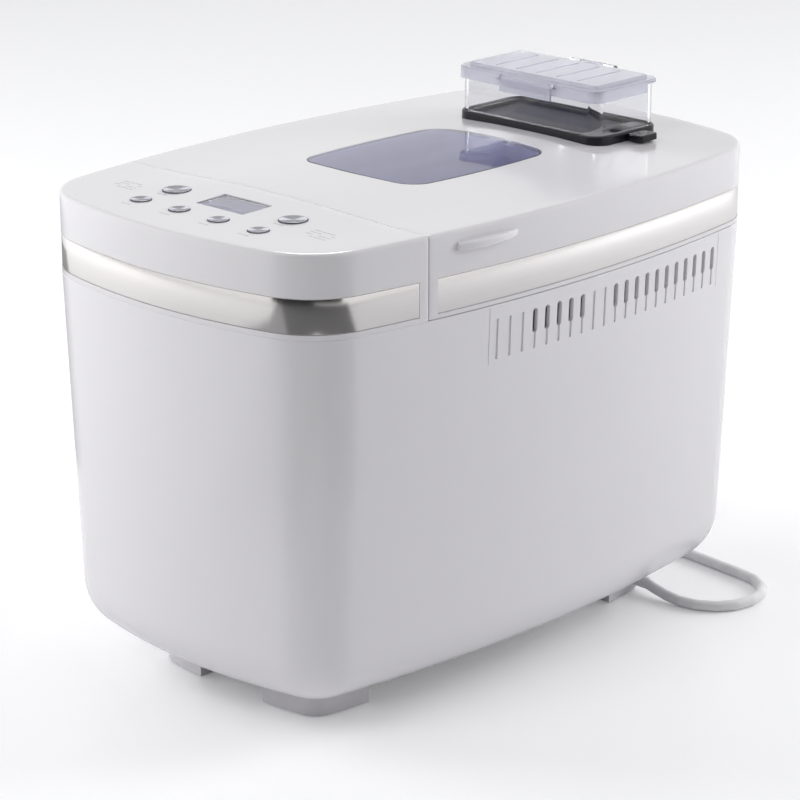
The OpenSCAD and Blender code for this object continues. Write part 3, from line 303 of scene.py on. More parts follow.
@dataclass(frozen=True)
class Textured(Finish):
    """Plastic or rubber with a fine even grain."""

    grain: float = 0.00003
    grain_scale: float = 1800.0

    def paint(self, nodes: Nodes) -> None:
        """Add the grain and a little dust in it."""
        grain = nodes.noise(self.grain_scale, 6.0)
        nodes.shade(nodes.noise(60.0, 5.0), self.color, 0.82, 1.18)
        nodes.gloss(grain, self.roughness - 0.08, self.roughness + 0.12)
        nodes.bump(grain, self.grain)


@dataclass(frozen=True)
class Brushed(Finish):
    """Metal brushed in level strokes."""

    strokes: float = 3800.0
    run: float = 14.0
    depth: float = 0.000006
    contrast: float = 0.06
    anisotropic: float = 0.35

    def paint(self, nodes: Nodes) -> None:
        """Add strokes that run level round the piece."""
        fine = nodes.noise(1.0, 3.0, (self.run, self.run, self.strokes))
        broad = nodes.noise(1.0, 2.0, (self.run / 4, self.run / 4, self.strokes / 12))
        nodes.shade(fine, self.color, 1 - self.contrast, 1 + self.contrast)
        nodes.gloss(broad, self.roughness * 0.8, self.roughness * 1.3)
        nodes.fix(Metallic=1.0, Anisotropic=self.anisotropic)
        nodes.bump(fine, self.depth, 0.5)


@dataclass(frozen=True)
class Spun(Finish):
    """Metal turned in fine rings about the piece's own upright axis."""

    anisotropic: float = 0.85

    def paint(self, nodes: Nodes) -> None:
        """Add the bow-tie gloss that fine rings give."""
        tangent = nodes.add("ShaderNodeTangent", direction_type="RADIAL", axis="Z")
        nodes.join(tangent.outputs["Tangent"], nodes.shader.inputs["Tangent"])
        nodes.shade(nodes.noise(2600.0, 3.0), self.color, 0.9, 1.1)
        nodes.fix(Metallic=1.0, Anisotropic=self.anisotropic)


@dataclass(frozen=True)
class Metal(Finish):
    """Plain metal with faint blotches and scratches."""

    blotch: float = 0.08

    def paint(self, nodes: Nodes) -> None:
        """Add blotches and scratches."""
        nodes.shade(nodes.noise(90.0, 6.0), self.color, 1 - self.blotch, 1 + self.blotch)
        nodes.gloss(nodes.noise(700.0, 8.0), self.roughness - 0.05, self.roughness + 0.1)
        nodes.fix(Metallic=1.0)
        nodes.bump(nodes.noise(1500.0, 6.0), 0.000008, 0.6)


@dataclass(frozen=True)
class Speckled(Finish):
    """A dark non-stick coat with pale specks."""

    speck: Color = (0.30, 0.30, 0.31)
    speck_scale: float = 900.0

    def paint(self, nodes: Nodes) -> None:
        """Add the specks and a pebbled surface."""
        cells = nodes.add("ShaderNodeTexVoronoi", Scale=self.speck_scale)
        nodes.join(nodes.place(), cells.inputs["Vector"])
        near = nodes.add("ShaderNodeMapRange", From_Min=0.12, From_Max=0.2, To_Min=1.0, To_Max=0.0)
        nodes.join(cells.outputs["Distance"], near.inputs["Value"])
        nodes.tone(near.outputs["Result"], self.color, self.speck)
        nodes.bump(nodes.noise(1400.0, 5.0), 0.00002, 0.6)


@dataclass(frozen=True)
class Clear(Finish):
    """Clear or tinted plastic and glass, with faint flow lines."""

    ior: float = 1.49
    ripple: float = 0.00001
    ripple_scale: float = 60.0
    haze: float = 0.0

    def paint(self, nodes: Nodes) -> None:
        """Let light through and add the flow lines."""
        nodes.fix(Transmission_Weight=1.0 - self.haze, IOR=self.ior)
        nodes.gloss(nodes.noise(25.0, 2.0), self.roughness, self.roughness + 0.02)
        nodes.bump(nodes.noise(self.ripple_scale, 2.0), self.ripple)


@dataclass(frozen=True)
class Lacquered(Finish):
    """A circuit board under green lacquer."""

    trace: Color = (0.14, 0.42, 0.22)

    def paint(self, nodes: Nodes) -> None:
        """Add straight copper traces under the lacquer."""
        bricks = nodes.add("ShaderNodeTexBrick", Scale=160.0, Mortar_Size=0.012)
        nodes.join(nodes.place(), bricks.inputs["Vector"])
        nodes.tone(bricks.outputs["Fac"], self.color, self.trace)
        nodes.bump(bricks.outputs["Fac"], 0.00003)


@dataclass(frozen=True)
class Finishes:
    """Every finish of the machine."""

    casing: Finish = Moulded("Casing white", Slot.CASING, (0.806, 0.79, 0.81), 0.22, coat=0.3)
    inner_white: Finish = Textured("Inner white", Slot.CASING, (0.74, 0.74, 0.76), 0.5)
    trim: Finish = Brushed("Trim steel", Slot.TRIM, (0.72, 0.70, 0.685), 0.15)
    key: Finish = Spun("Spun key", Slot.KEY, (0.235, 0.235, 0.265), 0.34)
    display_glass: Finish = Clear("Display glass", Slot.DISPLAY_GLASS, (0.62, 0.62, 0.70), 0.05)
    display_cell: Finish = Textured(
        "Display cell", Slot.DISPLAY_CELL, (0.33, 0.325, 0.42), 0.4, grain=0.000005
    )
    window: Finish = Clear("Window glass", Slot.WINDOW, (0.35, 0.36, 0.64), 0.03, ior=1.5)
    dark: Finish = Moulded("Dark plastic", Slot.DARK, (0.014, 0.0135, 0.018), 0.24, level=0.3)
    floor_dark: Finish = Moulded(
        "Dispenser floor", Slot.DARK, (0.030, 0.028, 0.042), 0.5, level=0.12
    )
    # Painted shade: a dark ring round the display that stands in for the shade along its recessed
    # edges.
    shade_ring: Finish = Textured("Display edge shade", Slot.DARK, (0.16, 0.155, 0.19), 0.45, grain=0.000004)
    clear: Finish = Clear("Clear plastic", Slot.CLEAR, (0.95, 0.95, 0.97), 0.02)
    hazy: Finish = Clear("Hazy plastic", Slot.CLEAR, (0.80, 0.80, 0.885), 0.13, haze=0.3)
    pin: Finish = Metal("Turned steel", Slot.PIN, (0.60, 0.60, 0.62), 0.28)
    sheet: Finish = Brushed(
        "Sheet steel", Slot.SHEET, (0.62, 0.62, 0.63), 0.32, strokes=900.0, contrast=0.1
    )
    chassis: Finish = Textured("Chassis paint", Slot.CHASSIS, (0.30, 0.31, 0.33), 0.45)
    heater: Finish = Metal("Oxidised tube", Slot.HEATER, (0.13, 0.12, 0.12), 0.5, blotch=0.3)
    motor: Finish = Metal("Motor can", Slot.MOTOR, (0.33, 0.34, 0.36), 0.42)
    bush: Finish = Metal("Sintered bronze", Slot.BUSH, (0.62, 0.46, 0.22), 0.38, blotch=0.15)
    nonstick: Finish = Speckled("Non-stick coat", Slot.NONSTICK, (0.035, 0.035, 0.038), 0.38)
    handle: Finish = Metal("Drawn wire", Slot.HANDLE, (0.66, 0.66, 0.67), 0.16)
    rubber: Finish = Textured("Black rubber", Slot.RUBBER, (0.028, 0.028, 0.03), 0.7)
    gasket: Finish = Textured("Grey silicone", Slot.GASKET, (0.36, 0.36, 0.37), 0.55)
    board: Finish = Lacquered("Green board", Slot.BOARD, (0.03, 0.17, 0.07), 0.3)
    cord: Finish = Textured("Cord sheath", Slot.CORD, (0.85, 0.85, 0.87), 0.38, grain=0.00001)
    ink: Finish = Textured("Panel print", Slot.CASING, (0.27, 0.265, 0.31), 0.5, grain=0.000001)


FINISH = Finishes()


# Outlines


def arc(centre: Point, radius: float, start: float, end: float, steps: int) -> list[Point]:
    """Give points along an arc, its two ends included."""
    angles = [start + (end - start) * i / steps for i in range(steps + 1)]
    return [(centre[0] + radius * math.cos(a), centre[1] + radius * math.sin(a)) for a in angles]


@dataclass(frozen=True)
class Bowed:
    """A rectangle with bowed sides and round corners, and its parallel curves."""

    half_x: float
    half_y: float
    bow_x: float
    bow_y: float
    corner: float
    centre: Point = (0.0, 0.0)
    side_steps: int = 44
    corner_steps: int = 14
    end_steps: int = 26

    def radii(self) -> Point:
        """Give the radii of the long sides and of the ends."""
        return (
            (self.half_y**2 + self.bow_x**2) / (2 * self.bow_x),
            (self.half_x**2 + self.bow_y**2) / (2 * self.bow_y),
        )

    def corner_centre(self, inset: float, round_: float) -> Point:
        """Give the centre of the right-hand back corner's arc.

        Args:
            inset: Distance inside the outline.
            round_: Radius of the corner there.

        Returns:
            The centre, from the shape's own middle.
        """
        side, end = self.radii()
        p, q = Vector((self.half_x - side, 0.0)), Vector((0.0, self.half_y - end))
        reach_p, reach_q = side - inset - round_, end - inset - round_
        across = q - p
        gap = across.length
        along = (gap**2 + reach_p**2 - reach_q**2) / (2 * gap)
        away = math.sqrt(reach_p**2 - along**2)
        u = across / gap
        return (p.x + along * u.x - away * u.y, p.y + along * u.y + away * u.x)

    def loop(self, inset: float = 0.0) -> list[Point]:
        """Give the outline, drawn inset inside itself, from the right side round."""
        side, end = self.radii()
        round_ = max(self.corner - inset, 2 * MM)
        x, y = self.corner_centre(inset, round_)
        a1 = math.atan2(y, x - (self.half_x - side))
        a2 = math.atan2(y - (self.half_y - end), x)
        turn = math.pi
        half = [
            arc((self.half_x - side, 0), side - inset, -a1, a1, self.side_steps),
            arc((x, y), round_, a1, a2, self.corner_steps),
            arc((0, self.half_y - end), end - inset, a2, turn - a2, self.end_steps),
            arc((-x, y), round_, turn - a2, turn - a1, self.corner_steps),
        ]
        points = [point for part in half for point in part[1:]]
        points += [(-px, -py) for px, py in points]
        return [(px + self.centre[0], py + self.centre[1]) for px, py in points]


@dataclass(frozen=True)
class Rounded:
    """A rectangle with round corners, and its parallel curves."""

    width: float
    depth: float
    corner: float
    centre: Point = (0.0, 0.0)
    corner_steps: int = 10
    side_steps: int = 4

    def loop(self, inset: float = 0.0) -> list[Point]:
        """Give the outline, drawn inset inside itself, anticlockwise."""
        round_ = max(self.corner - inset, 0.3 * MM)
        x, y = self.width / 2 - inset - round_, self.depth / 2 - inset - round_
        quarter = math.pi / 2
        places = [(x, y), (-x, y), (-x, -y), (x, -y)]
        corners = [
            arc(place, round_, quarter * i, quarter * (i + 1), self.corner_steps)
            for i, place in enumerate(places)
        ]
        points: list[Point] = []
        for i, corner in enumerate(corners):
            points += corner
            first, last = Vector(corner[-1]), Vector(corners[(i + 1) % 4][0])
            for step in range(1, self.side_steps):
                points.append(tuple(first.lerp(last, step / self.side_steps)))
        return [(px + self.centre[0], py + self.centre[1]) for px, py in points]


@dataclass(frozen=True)
class Disc:
    """A circle and its parallel curves."""

    radius: float
    centre: Point = (0.0, 0.0)
    steps: int = 64

    def loop(self, inset: float = 0.0) -> list[Point]:
        """Give the circle, drawn inset inside itself."""
        return arc(self.centre, self.radius - inset, 0.0, math.tau, self.steps)[:-1]


Shape = Bowed | Rounded | Disc


# Making meshes


def new_object(name: str, data: bpy.types.ID) -> Thing:
    """Put a mesh, curve, lamp or camera in the scene as an object."""
    thing = bpy.data.objects.new(name, data)
    bpy.context.scene.collection.objects.link(thing)
    return thing


def aim(thing: Thing, place: Sequence[float], target: Sequence[float]) -> None:
    """Stand a lamp or camera at a place and turn it to a target."""
    thing.location = place
    away = Vector(target) - Vector(place)
    thing.rotation_euler = away.to_track_quat("-Z", "Y").to_euler()


def mesh_object(name: str, points: Points, faces: Sequence[Sequence[int]]) -> Thing:
    """Make an object from points and faces, its faces turned outwards."""
    mesh = bpy.data.meshes.new(name)
    mesh.from_pydata([tuple(p) for p in points], [], [tuple(f) for f in faces])
    work = bmesh.new()
    work.from_mesh(mesh)
    bmesh.ops.recalc_face_normals(work, faces=work.faces)
    work.to_mesh(mesh)
    work.free()
    return new_object(name, mesh)


def skin(name: str, rings: Sequence[Points], closed: bool = False) -> Thing:
    """Join rings of equal counts into one closed surface.

    Args:
        name: The object's name.
        rings: Loops of points, in order.
        closed: True where the last ring joins the first, as in a frame.

    Returns:
        The object.
    """
    count, total = len(rings[0]), len(rings)
    points = [p for ring in rings for p in ring]
    faces: list[Sequence[int]] = []
    for j in range(total if closed else total - 1):
        low, high = j * count, (j + 1) % total * count
        for i in range(count):
            k = (i + 1) % count
            faces.append((low + i, low + k, high + k, high + i))
    if not closed:
        faces.append(tuple(range(count)))
        faces.append(tuple(range((total - 1) * count, total * count)))
    return mesh_object(name, points, faces)


def wrap(
    name: str, shape: Shape, profile: Sequence[Level], closed: bool = False,
    lift: Optional[Callable[[float, float, float], float]] = None,
) -> Thing:
    """Carry a profile round an outline.

    Args:
        name: The object's name.
        shape: The outline.
        profile: Pairs of inset and height.
        closed: True for a frame, False for a capped solid.
        lift: Gives a point's height from its x, y and profile height.

    Returns:
        The object.
    """
    rings = []
    for inset, z in profile:
        rings.append([(x, y, lift(x, y, z) if lift else z) for x, y in shape.loop(inset)])
    return skin(name, rings, closed)


def edge_curve(
    inset: float, z: float, radius: float, start: float, end: float, steps: int = 5
) -> list[Level]:
    """Give profile points of a rounded edge about (inset, z), angles in degrees.

    At 0 degrees the point lies outwards of the centre, and at 90 above it.
    """
    angles = [math.radians(start + (end - start) * i / steps) for i in range(steps + 1)]
    return [(inset - radius * math.cos(a), z + radius * math.sin(a)) for a in angles]


def side_curve(
    inset: float, low: float, high: float, under: float, over: float, steps: int = 5
) -> list[Level]:
    """Give profile points of an upright side, its lower and upper edges rounded."""
    lower = edge_curve(inset + under, low + under, under, -90, 0, steps)
    return lower + edge_curve(inset + over, high - over, over, 0, 90, steps)


def slab(name: str, shape: Shape, low: float, high: float, under: float, over: float) -> Thing:
    """Make a plate with rounded lower and upper edges.

    Args:
        name: The object's name.
        shape: Its outline.
        low: Its underside.
        high: Its top.
        under: Radius of the lower edge.
        over: Radius of the upper edge.

    Returns:
        The object.
    """
    return wrap(name, shape, side_curve(0.0, low, high, under, over))


def rim_frame(name: str, shape: Shape, low: float, high: float, wall: float, edge: float) -> Thing:
    """Make an upright wall round an outline, its four edges rounded."""
    profile = side_curve(0.0, low, high, edge, edge, 3)
    profile += edge_curve(wall - edge, high - edge, edge, 90, 180, 3)
    profile += edge_curve(wall - edge, low + edge, edge, 180, 270, 3)
    return wrap(name, shape, profile, closed=True)


def about(middle: float, half: float) -> Level:
    """Give the two ends of a span about its middle."""
    return middle - half, middle + half


def block(name: str, x: Level, y: Level, z: Level) -> Thing:
    """Make a box from its three spans, as a cutting tool or a rib to soften."""
    corners = [(px, py, pz) for pz in z for py in y for px in x]
    faces = [(0, 1, 3, 2), (4, 5, 7, 6), (0, 1, 5, 4), (2, 3, 7, 6), (0, 2, 6, 4), (1, 3, 7, 5)]
    return mesh_object(name, corners, faces)


def rod(name: str, start: Vector, end: Vector, radius: float, steps: int = 32) -> Thing:
    """Make a round bar between two points, its end edges rounded."""
    length = (end - start).length
    edge = min(radius, length) * 0.18
    thing = slab(name, Disc(radius, steps=steps), 0.0, length, edge, edge)
    turn = (end - start).to_track_quat("Z", "Y").to_matrix().to_4x4()
    thing.data.transform(Matrix.Translation(start) @ turn)
    return thing


def along_x(
    name: str, x: float, width: float, axis: Point, radius: float, steps: int = 40
) -> Thing:
    """Make a round bar that runs across, centred on x, about an axis at y and z."""
    start, end = about(x, width / 2)
    return rod(name, Vector((start, *axis)), Vector((end, *axis)), radius, steps)


def joined(name: str, parts: Sequence[Thing]) -> Thing:
    """Gather several objects into one mesh, without merging their solids."""
    work = bmesh.new()
    for part in parts:
        work.from_mesh(part.data)
        bpy.data.objects.remove(part)
    mesh = bpy.data.meshes.new(name)
    work.to_mesh(mesh)
    work.free()
    return new_object(name, mesh)


def applied(thing: Thing) -> Thing:
    """Turn an object's modifiers into its mesh."""
    graph = bpy.context.evaluated_depsgraph_get()
    mesh = bpy.data.meshes.new_from_object(thing.evaluated_get(graph))
    old = thing.data
    thing.modifiers.clear()
    thing.data = mesh
    bpy.data.meshes.remove(old)
    return thing


def carve(thing: Thing, *tools: Thing, how: Cut = Cut.TAKE) -> Thing:
    """Cut, join or crop an object with others, one by one, which are used up."""
    for tool in tools:
        step = thing.modifiers.new("carve", "BOOLEAN")
        step.operation = how.value
        step.object = tool
        step.solver = "MANIFOLD"
        applied(thing)
        bpy.data.objects.remove(tool)
    return thing


def smooth(thing: Thing, angle: float = SMOOTH_ANGLE) -> Thing:
    """Shade an object smooth up to an angle in degrees."""
    thing.data.shade_smooth()
    thing.data.set_sharp_from_angle(angle=math.radians(angle))
    return thing


def flatten(thing: Thing) -> None:
    """Keep broad flat faces flat in the shading, so that clear walls do not bend the view."""
    thing.modifiers.new("Flat faces", "WEIGHTED_NORMAL").keep_sharp = True


def soften(thing: Thing, width: float, steps: int = 2, angle: float = 40.0) -> Thing:
    """Round an object's sharp edges by a bevel of a width."""
    thing.modifiers.new("weld", "WELD").merge_threshold = 0.01 * MM
    bevel = thing.modifiers.new("soften", "BEVEL")
    bevel.width = width
    bevel.segments = steps
    bevel.limit_method = "ANGLE"
    bevel.angle_limit = math.radians(angle)
    return thing


def coat(thing: Thing, finish: Finish) -> None:
    """Give an object its finish's material, in place of any it had."""
    thing.data.materials.clear()
    thing.data.materials.append(finish.material())


def dress(
    thing: Thing,
    finish: Finish,
    body: Body,
    nodes: Iterable[str] = (),
    angle: Optional[float] = SMOOTH_ANGLE,
) -> Thing:
    """Finish a piece, seat it on its body and hide the nodes that it stands for.

    Args:
        thing: The piece.
        finish: Its finish.
        body: The body that it rides on.
        nodes: The frame's nodes that it replaces.
        angle: The smoothing angle in degrees, or None to leave the shading as it is.

    Returns:
        The piece.
    """
    if thing.type == "MESH" and angle is not None:
        smooth(thing, angle)
        if isinstance(finish, Clear):
            flatten(thing)
    coat(thing, finish)
    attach(thing, body.value)
    if nodes:
        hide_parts(*nodes)
    LOG.info("piece %s on %s", thing.name, body.value)
    return thing


# Camera, light and stage


@dataclass(frozen=True)
class Lamp:
    """A soft rectangular lamp, for soft light, or for gloss alone."""

    title: str
    place: Sequence[float]
    aim: Sequence[float]
    size: Point
    power: float
    gloss: bool = False


@dataclass(frozen=True)
class Card:
    """A dark card that reflections see, and soft light too unless told otherwise."""

    title: str
    low: Sequence[float]
    high: Sequence[float]
    shade: float
    soft: bool = True


@dataclass(frozen=True)
class Studio:
    """The camera, the white room, its lamps and its cards."""

    eye: Sequence[float] = (1.2574, -1.3030, 0.7416)
    target: Sequence[float] = (0.0372, -0.0468, 0.1657)
    lens: float = 139.49
    sensor: float = 36.0
    floor_span: float = 4.0
    floor_color: Color = (0.93, 0.93, 0.945)
    sky: float = 0.431
    sky_color: tuple[float, ...] = (0.98, 0.985, 1.0, 1.0)
    floor_lift: float = 0.16
    lamps: tuple[Lamp, ...] = (
        Lamp("Left lamp", (-1.7, -0.9, 0.9), (0.0, 0.0, 0.15), (1.2, 1.2), 22.7),
        Lamp("Rear lamp", (1.1, 1.9, 1.0), (0.0, 0.0, 0.15), (1.2, 1.2), 30.6),
        Lamp("Front lamp", (0.0, -2.0, 1.8), (0.0, 0.0, 0.15), (1.2, 1.2), 13.4),
        Lamp("Gloss lamp", (-0.49, 0.40, 1.51), (0.0, -0.1, 0.3), (0.6, 0.6), 16.0, gloss=True),
    )
    cards: tuple[Card, ...] = (
        Card("Left floor card", (-1.15, -0.22, 0.001), (-0.42, 0.75, 0.002), 0.30, soft=False),
        Card("First floor card", (-0.14, -2.6, 0.001), (0.14, -0.46, 0.002), 0.40, soft=False),
        Card("Front floor card", (0.14, -2.6, 0.001), (2.4, -0.46, 0.002), 0.17, soft=False),
        Card("Side floor card", (0.44, -0.46, 0.001), (2.4, 0.0, 0.002), 0.17, soft=False),
        Card("Rear floor card", (0.34, 0.0, 0.001), (1.9, 1.9, 0.002), 0.74, soft=False),
        Card("Front card", (-0.45, -2.62, 0.0), (2.9, -2.6, 2.2), 0.04),
        Card("Side card", (2.9, -2.62, 0.0), (2.92, -0.35, 2.2), 0.04),
    )

    def build(self) -> None:
        """Set up everything around the machine."""
        self.camera()
        self.view()
        self.room()
        self.floor()
        for lamp in self.lamps:
            self.light(lamp)
        for card in self.cards:
            self.card(card)

    def camera(self) -> None:
        """Place the camera."""
        data = bpy.data.cameras.new("Camera")
        data.lens = self.lens
        data.sensor_width = self.sensor
        thing = new_object("Camera", data)
        aim(thing, self.eye, self.target)
        bpy.context.scene.camera = thing

    def view(self) -> None:
        """Set the colour handling."""
        scene = bpy.context.scene
        scene.view_settings.view_transform = "Standard"
        scene.view_settings.look = "None"
        scene.view_settings.exposure = 0.0
        scene.view_settings.gamma = 1.0
        scene.render.film_transparent = False

    def room(self) -> None:
        """Make the world: a pale sky for light, and pure white where it is seen."""
        world = bpy.data.worlds.new("Room")
        bpy.context.scene.world = world
        world.use_nodes = True
        world.node_tree.nodes.clear()
        tree = Tree(world.node_tree)
        path = tree.add("ShaderNodeLightPath").outputs
        seen = tree.add("ShaderNodeMath", operation="MAXIMUM")
        shown = tree.add("ShaderNodeMath", operation="MAXIMUM")
        light = tree.add("ShaderNodeBackground", Color=self.sky_color, Strength=self.sky)
        white = tree.add("ShaderNodeBackground", Color=WHITE, Strength=1.0)
        mix = tree.add("ShaderNodeMixShader")
        out = tree.add("ShaderNodeOutputWorld")
        for source, target in (
            (path["Is Camera Ray"], seen.inputs[0]),
            (path["Is Transmission Ray"], seen.inputs[1]),
            (seen.outputs[0], shown.inputs[0]),
            (path["Is Glossy Ray"], shown.inputs[1]),
            (shown.outputs[0], mix.inputs[0]),
            (light.outputs[0], mix.inputs[1]),
            (white.outputs[0], mix.inputs[2]),
            (mix.outputs[0], out.inputs["Surface"]),
        ):
            tree.join(source, target)

    def floor(self) -> None:
        """Lay the worktop."""
        outline = Rounded(self.floor_span, self.floor_span, self.floor_span / 8)
        top = slab("Worktop", outline, -20 * MM, 0.0, 2 * MM, 2 * MM)
        nodes = Nodes("Worktop white")
        nodes.shade(nodes.noise(3.0), self.floor_color, 0.995, 1.0)
        nodes.fix(Roughness=0.32, Specular_IOR_Level=0.35, Emission_Color=WHITE)
        seen = nodes.add("ShaderNodeLightPath").outputs["Is Camera Ray"]
        lift = nodes.span(seen, 0.0, self.floor_lift)
        nodes.join(lift, nodes.shader.inputs["Emission Strength"])
        top.data.materials.append(nodes.material)

    def light(self, lamp: Lamp) -> None:
        """Hang one lamp."""
        data = bpy.data.lights.new(lamp.title, "AREA")
        data.shape = "RECTANGLE"
        data.size, data.size_y = lamp.size
        data.energy = lamp.power
        thing = new_object(lamp.title, data)
        aim(thing, lamp.place, lamp.aim)
        thing.visible_glossy = lamp.gloss
        thing.visible_diffuse = not lamp.gloss

    def card(self, card: Card) -> None:
        """Set one card, unseen by the camera; a card on the worktop shows its upper side alone."""
        (x0, y0, z0), (x1, y1, z1) = card.low, card.high
        flat = z1 - z0 < 2 * MM
        if flat:
            corners = [(x0, y0, z1), (x1, y0, z1), (x1, y1, z1), (x0, y1, z1)]
            thing = mesh_object(card.title, corners, [(0, 1, 2, 3)])
        else:
            thing = block(card.title, *zip(card.low, card.high))
        nodes = Nodes(card.title)
        nodes.fix(Base_Color=(card.shade, card.shade, card.shade * 1.04, 1.0), Roughness=0.9)
        nodes.bump(nodes.noise(40.0), 0.0005)
        if flat:
            mix = nodes.add("ShaderNodeMixShader")
            nodes.join(nodes.add("ShaderNodeNewGeometry").outputs["Backfacing"], mix.inputs[0])
            nodes.join(nodes.shader.outputs["BSDF"], mix.inputs[1])
            nodes.join(nodes.add("ShaderNodeBsdfTransparent").outputs["BSDF"], mix.inputs[2])
            nodes.join(mix.outputs["Shader"], nodes.output.inputs["Surface"])
        thing.data.materials.append(nodes.material)
        thing.visible_camera = False
        thing.visible_diffuse = card.soft
        thing.visible_shadow = False
        thing.visible_transmission = False


# Mains lead


@dataclass(frozen=True)
class MainsLead:
    """The lead from its gland round to the coil, and the moulded plug."""

    diameter: float = 0.007
    gland: Sequence[float] = (67.0, 141.5, 7.0)
    gland_turn: float = -10.0
    gland_radius: float = 4.5
    gland_in: float = 12.0
    gland_out: float = 10.0
    gland_ribs: int = 4
    lead: Points = (
        (76.8, 139.8, 7), (86, 138.2, 5.8), (96, 137.2, 4.4), (106.5, 137, 3.6),
        (118.9, 139.5, 3.6), (129.5, 146.5, 3.6), (136.5, 157.1, 3.6), (139, 169.5, 3.6),
        (136.5, 181.9, 3.6), (129.5, 192.5, 3.6), (118.9, 199.5, 3.6), (106.5, 202, 3.6),
        (90, 203.5, 3.6), (65, 206, 3.6), (40, 208.2, 3.6), (15, 209.6, 3.6), (-10, 210, 3.6),
        (-20, 210, 3.6),
    )
    tail: Points = (
        (-35, 210.1, 10.8), (-49, 210.3, 10.8), (-58, 211.1, 10.4), (-67, 213.1, 8.8),
        (-76, 216.3, 6.4), (-85, 220.4, 4.5), (-93.4, 225.8, 3.6), (-100.6, 232.4, 3.6),
        (-106.4, 240, 3.7), (-110, 246.8, 4.5), (-111.5, 253, 6.3),
    )
    coil: Point = (-35.0, 252.0)
    turns: Points = (
        (90, 42.0, 3.6), (40, 42.0, 3.6), (-150, 42.0, 3.6), (-265, 35.0, 3.7), (-480, 35.0, 3.8),
        (-600, 35.0, 10.7), (-640, 35.0, 10.7), (-990, 42.0, 10.7),
    )
    turn_step: float = 22.5
    plug_at: Sequence[float] = (-111.5, 252.0, 5.9)
    plug_tilt: float = 22.0
    plug_length: float = 45.0
    plug_radius: float = 18.5
    plug_mouth: float = 4.4
    plug_ridges: int = 5
    ridge_depth: float = 0.7
    plug_neck: Points = (
        (7.0, 15.0), (8.8, 17.4), (11.2, 19.6), (13.4, 22.4), (14.6, 25.0), (16.2, 27.2),
        (17.8, 29.2),
    )
    plug_face: Points = (
        (0.0, 2.4), (0.4, 1.0), (1.3, 0.2), (2.2, 0.0), (4.4, 0.0), (4.8, 0.5), (5.6, 0.5),
        (6.0, 0.0),
    )
    pin_radius: float = 2.4
    pin_out: float = 19.0
    pin_gap: float = 19.0

    def winding(self) -> list[Vector]:
        """Give points along the coil, clockwise from where the lead meets it."""
        points = []
        first, last = self.turns[0][0], self.turns[-1][0]
        count = round((first - last) / self.turn_step)
        for i in range(1, count + 1):
            angle = first - (first - last) * i / (count + 1)
            legs = zip(self.turns, self.turns[1:])
            (a0, r0, z0), (a1, r1, z1) = next(leg for leg in legs if angle >= leg[1][0])
            part = eased((a0 - angle) / (a0 - a1))
            radius, z = r0 + (r1 - r0) * part, z0 + (z1 - z0) * part
            turn, (x, y) = math.radians(angle + 180), self.coil
            points.append(Vector((x + radius * math.cos(turn), y + radius * math.sin(turn), z)))
        return points

    def build(self) -> None:
        """Make the gland, the lead and the plug."""
        plug = self.plug()
        self.gland_piece()
        self.cord([plug, self.pins()])

    def cord(self, pieces: Sequence[Thing]) -> None:
        """Sweep the lead along its route."""
        data = bpy.data.curves.new("Mains lead", "CURVE")
        data.dimensions = "3D"
        data.bevel_depth = 1.0
        data.bevel_resolution = 6
        data.resolution_u = 8
        data.use_fill_caps = True
        route = [Vector(p) for p in self.lead] + self.winding() + [Vector(p) for p in self.tail]
        line = data.splines.new("NURBS")
        line.order_u = 4
        line.use_endpoint_u = True
        line.points.add(len(route) - 1)
        for point, place in zip(line.points, route):
            point.co = (*(place * MM), 1.0)
            point.radius = self.diameter / 2
        thing = new_object("mains_lead", data)
        dress(thing, FINISH.cord, Body.BASE, ("cord", "cord_coil"))
        length = self.measured(thing)
        LOG.info("the lead measures %.3f m", length)
        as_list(pieces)

    def measured(self, thing: Thing) -> float:
        """Give the length of a curve's centre line, in metres."""
        depth = thing.data.bevel_depth
        thing.data.bevel_depth = 0.0
        graph = bpy.context.evaluated_depsgraph_get()
        mesh = bpy.data.meshes.new_from_object(thing.evaluated_get(graph))
        spots = [vertex.co.copy() for vertex in mesh.vertices]
        total = sum((spots[e.vertices[0]] - spots[e.vertices[1]]).length for e in mesh.edges)
        bpy.data.meshes.remove(mesh)
        thing.data.bevel_depth = depth
        return total

    def gland_piece(self) -> None:
        """Turn the gland: a collar in the foot and a ribbed taper round the lead."""
        thin, wide = self.diameter / 2 + 0.4 * MM, self.gland_radius * MM
        profile = [(wide, -self.gland_in * MM), (wide, 0.0)]
        for i in range(self.gland_ribs):
            low = i / self.gland_ribs
            for further, dip in ((0.02, 0.0), (0.12, 0.0), (0.17, 0.4), (0.22, 0.4)):
                part = low + further
                radius = wide + (thin - wide) * part
                profile.append((radius - dip * MM, part * self.gland_out * MM))
        profile.append((thin, self.gland_out * MM))
        thing = wrap("cord_gland_body", Disc(0.0, steps=36), [(-r, z) for r, z in profile])
        lying = Matrix.Rotation(math.pi / 2, 4, "Y")
        turn = Matrix.Rotation(math.radians(self.gland_turn), 4, "Z") @ lying
        thing.data.transform(Matrix.Translation(Vector(self.gland) * MM) @ turn)
        dress(thing, FINISH.cord, Body.BASE, ("cord_gland",))

    def plug_frame(self) -> Matrix:
        """Give the plug's place, its axis along its own +Z."""
        turn = Matrix.Rotation(math.radians(-90 + self.plug_tilt), 4, "X")
        return Matrix.Translation(Vector(self.plug_at) * MM) @ turn

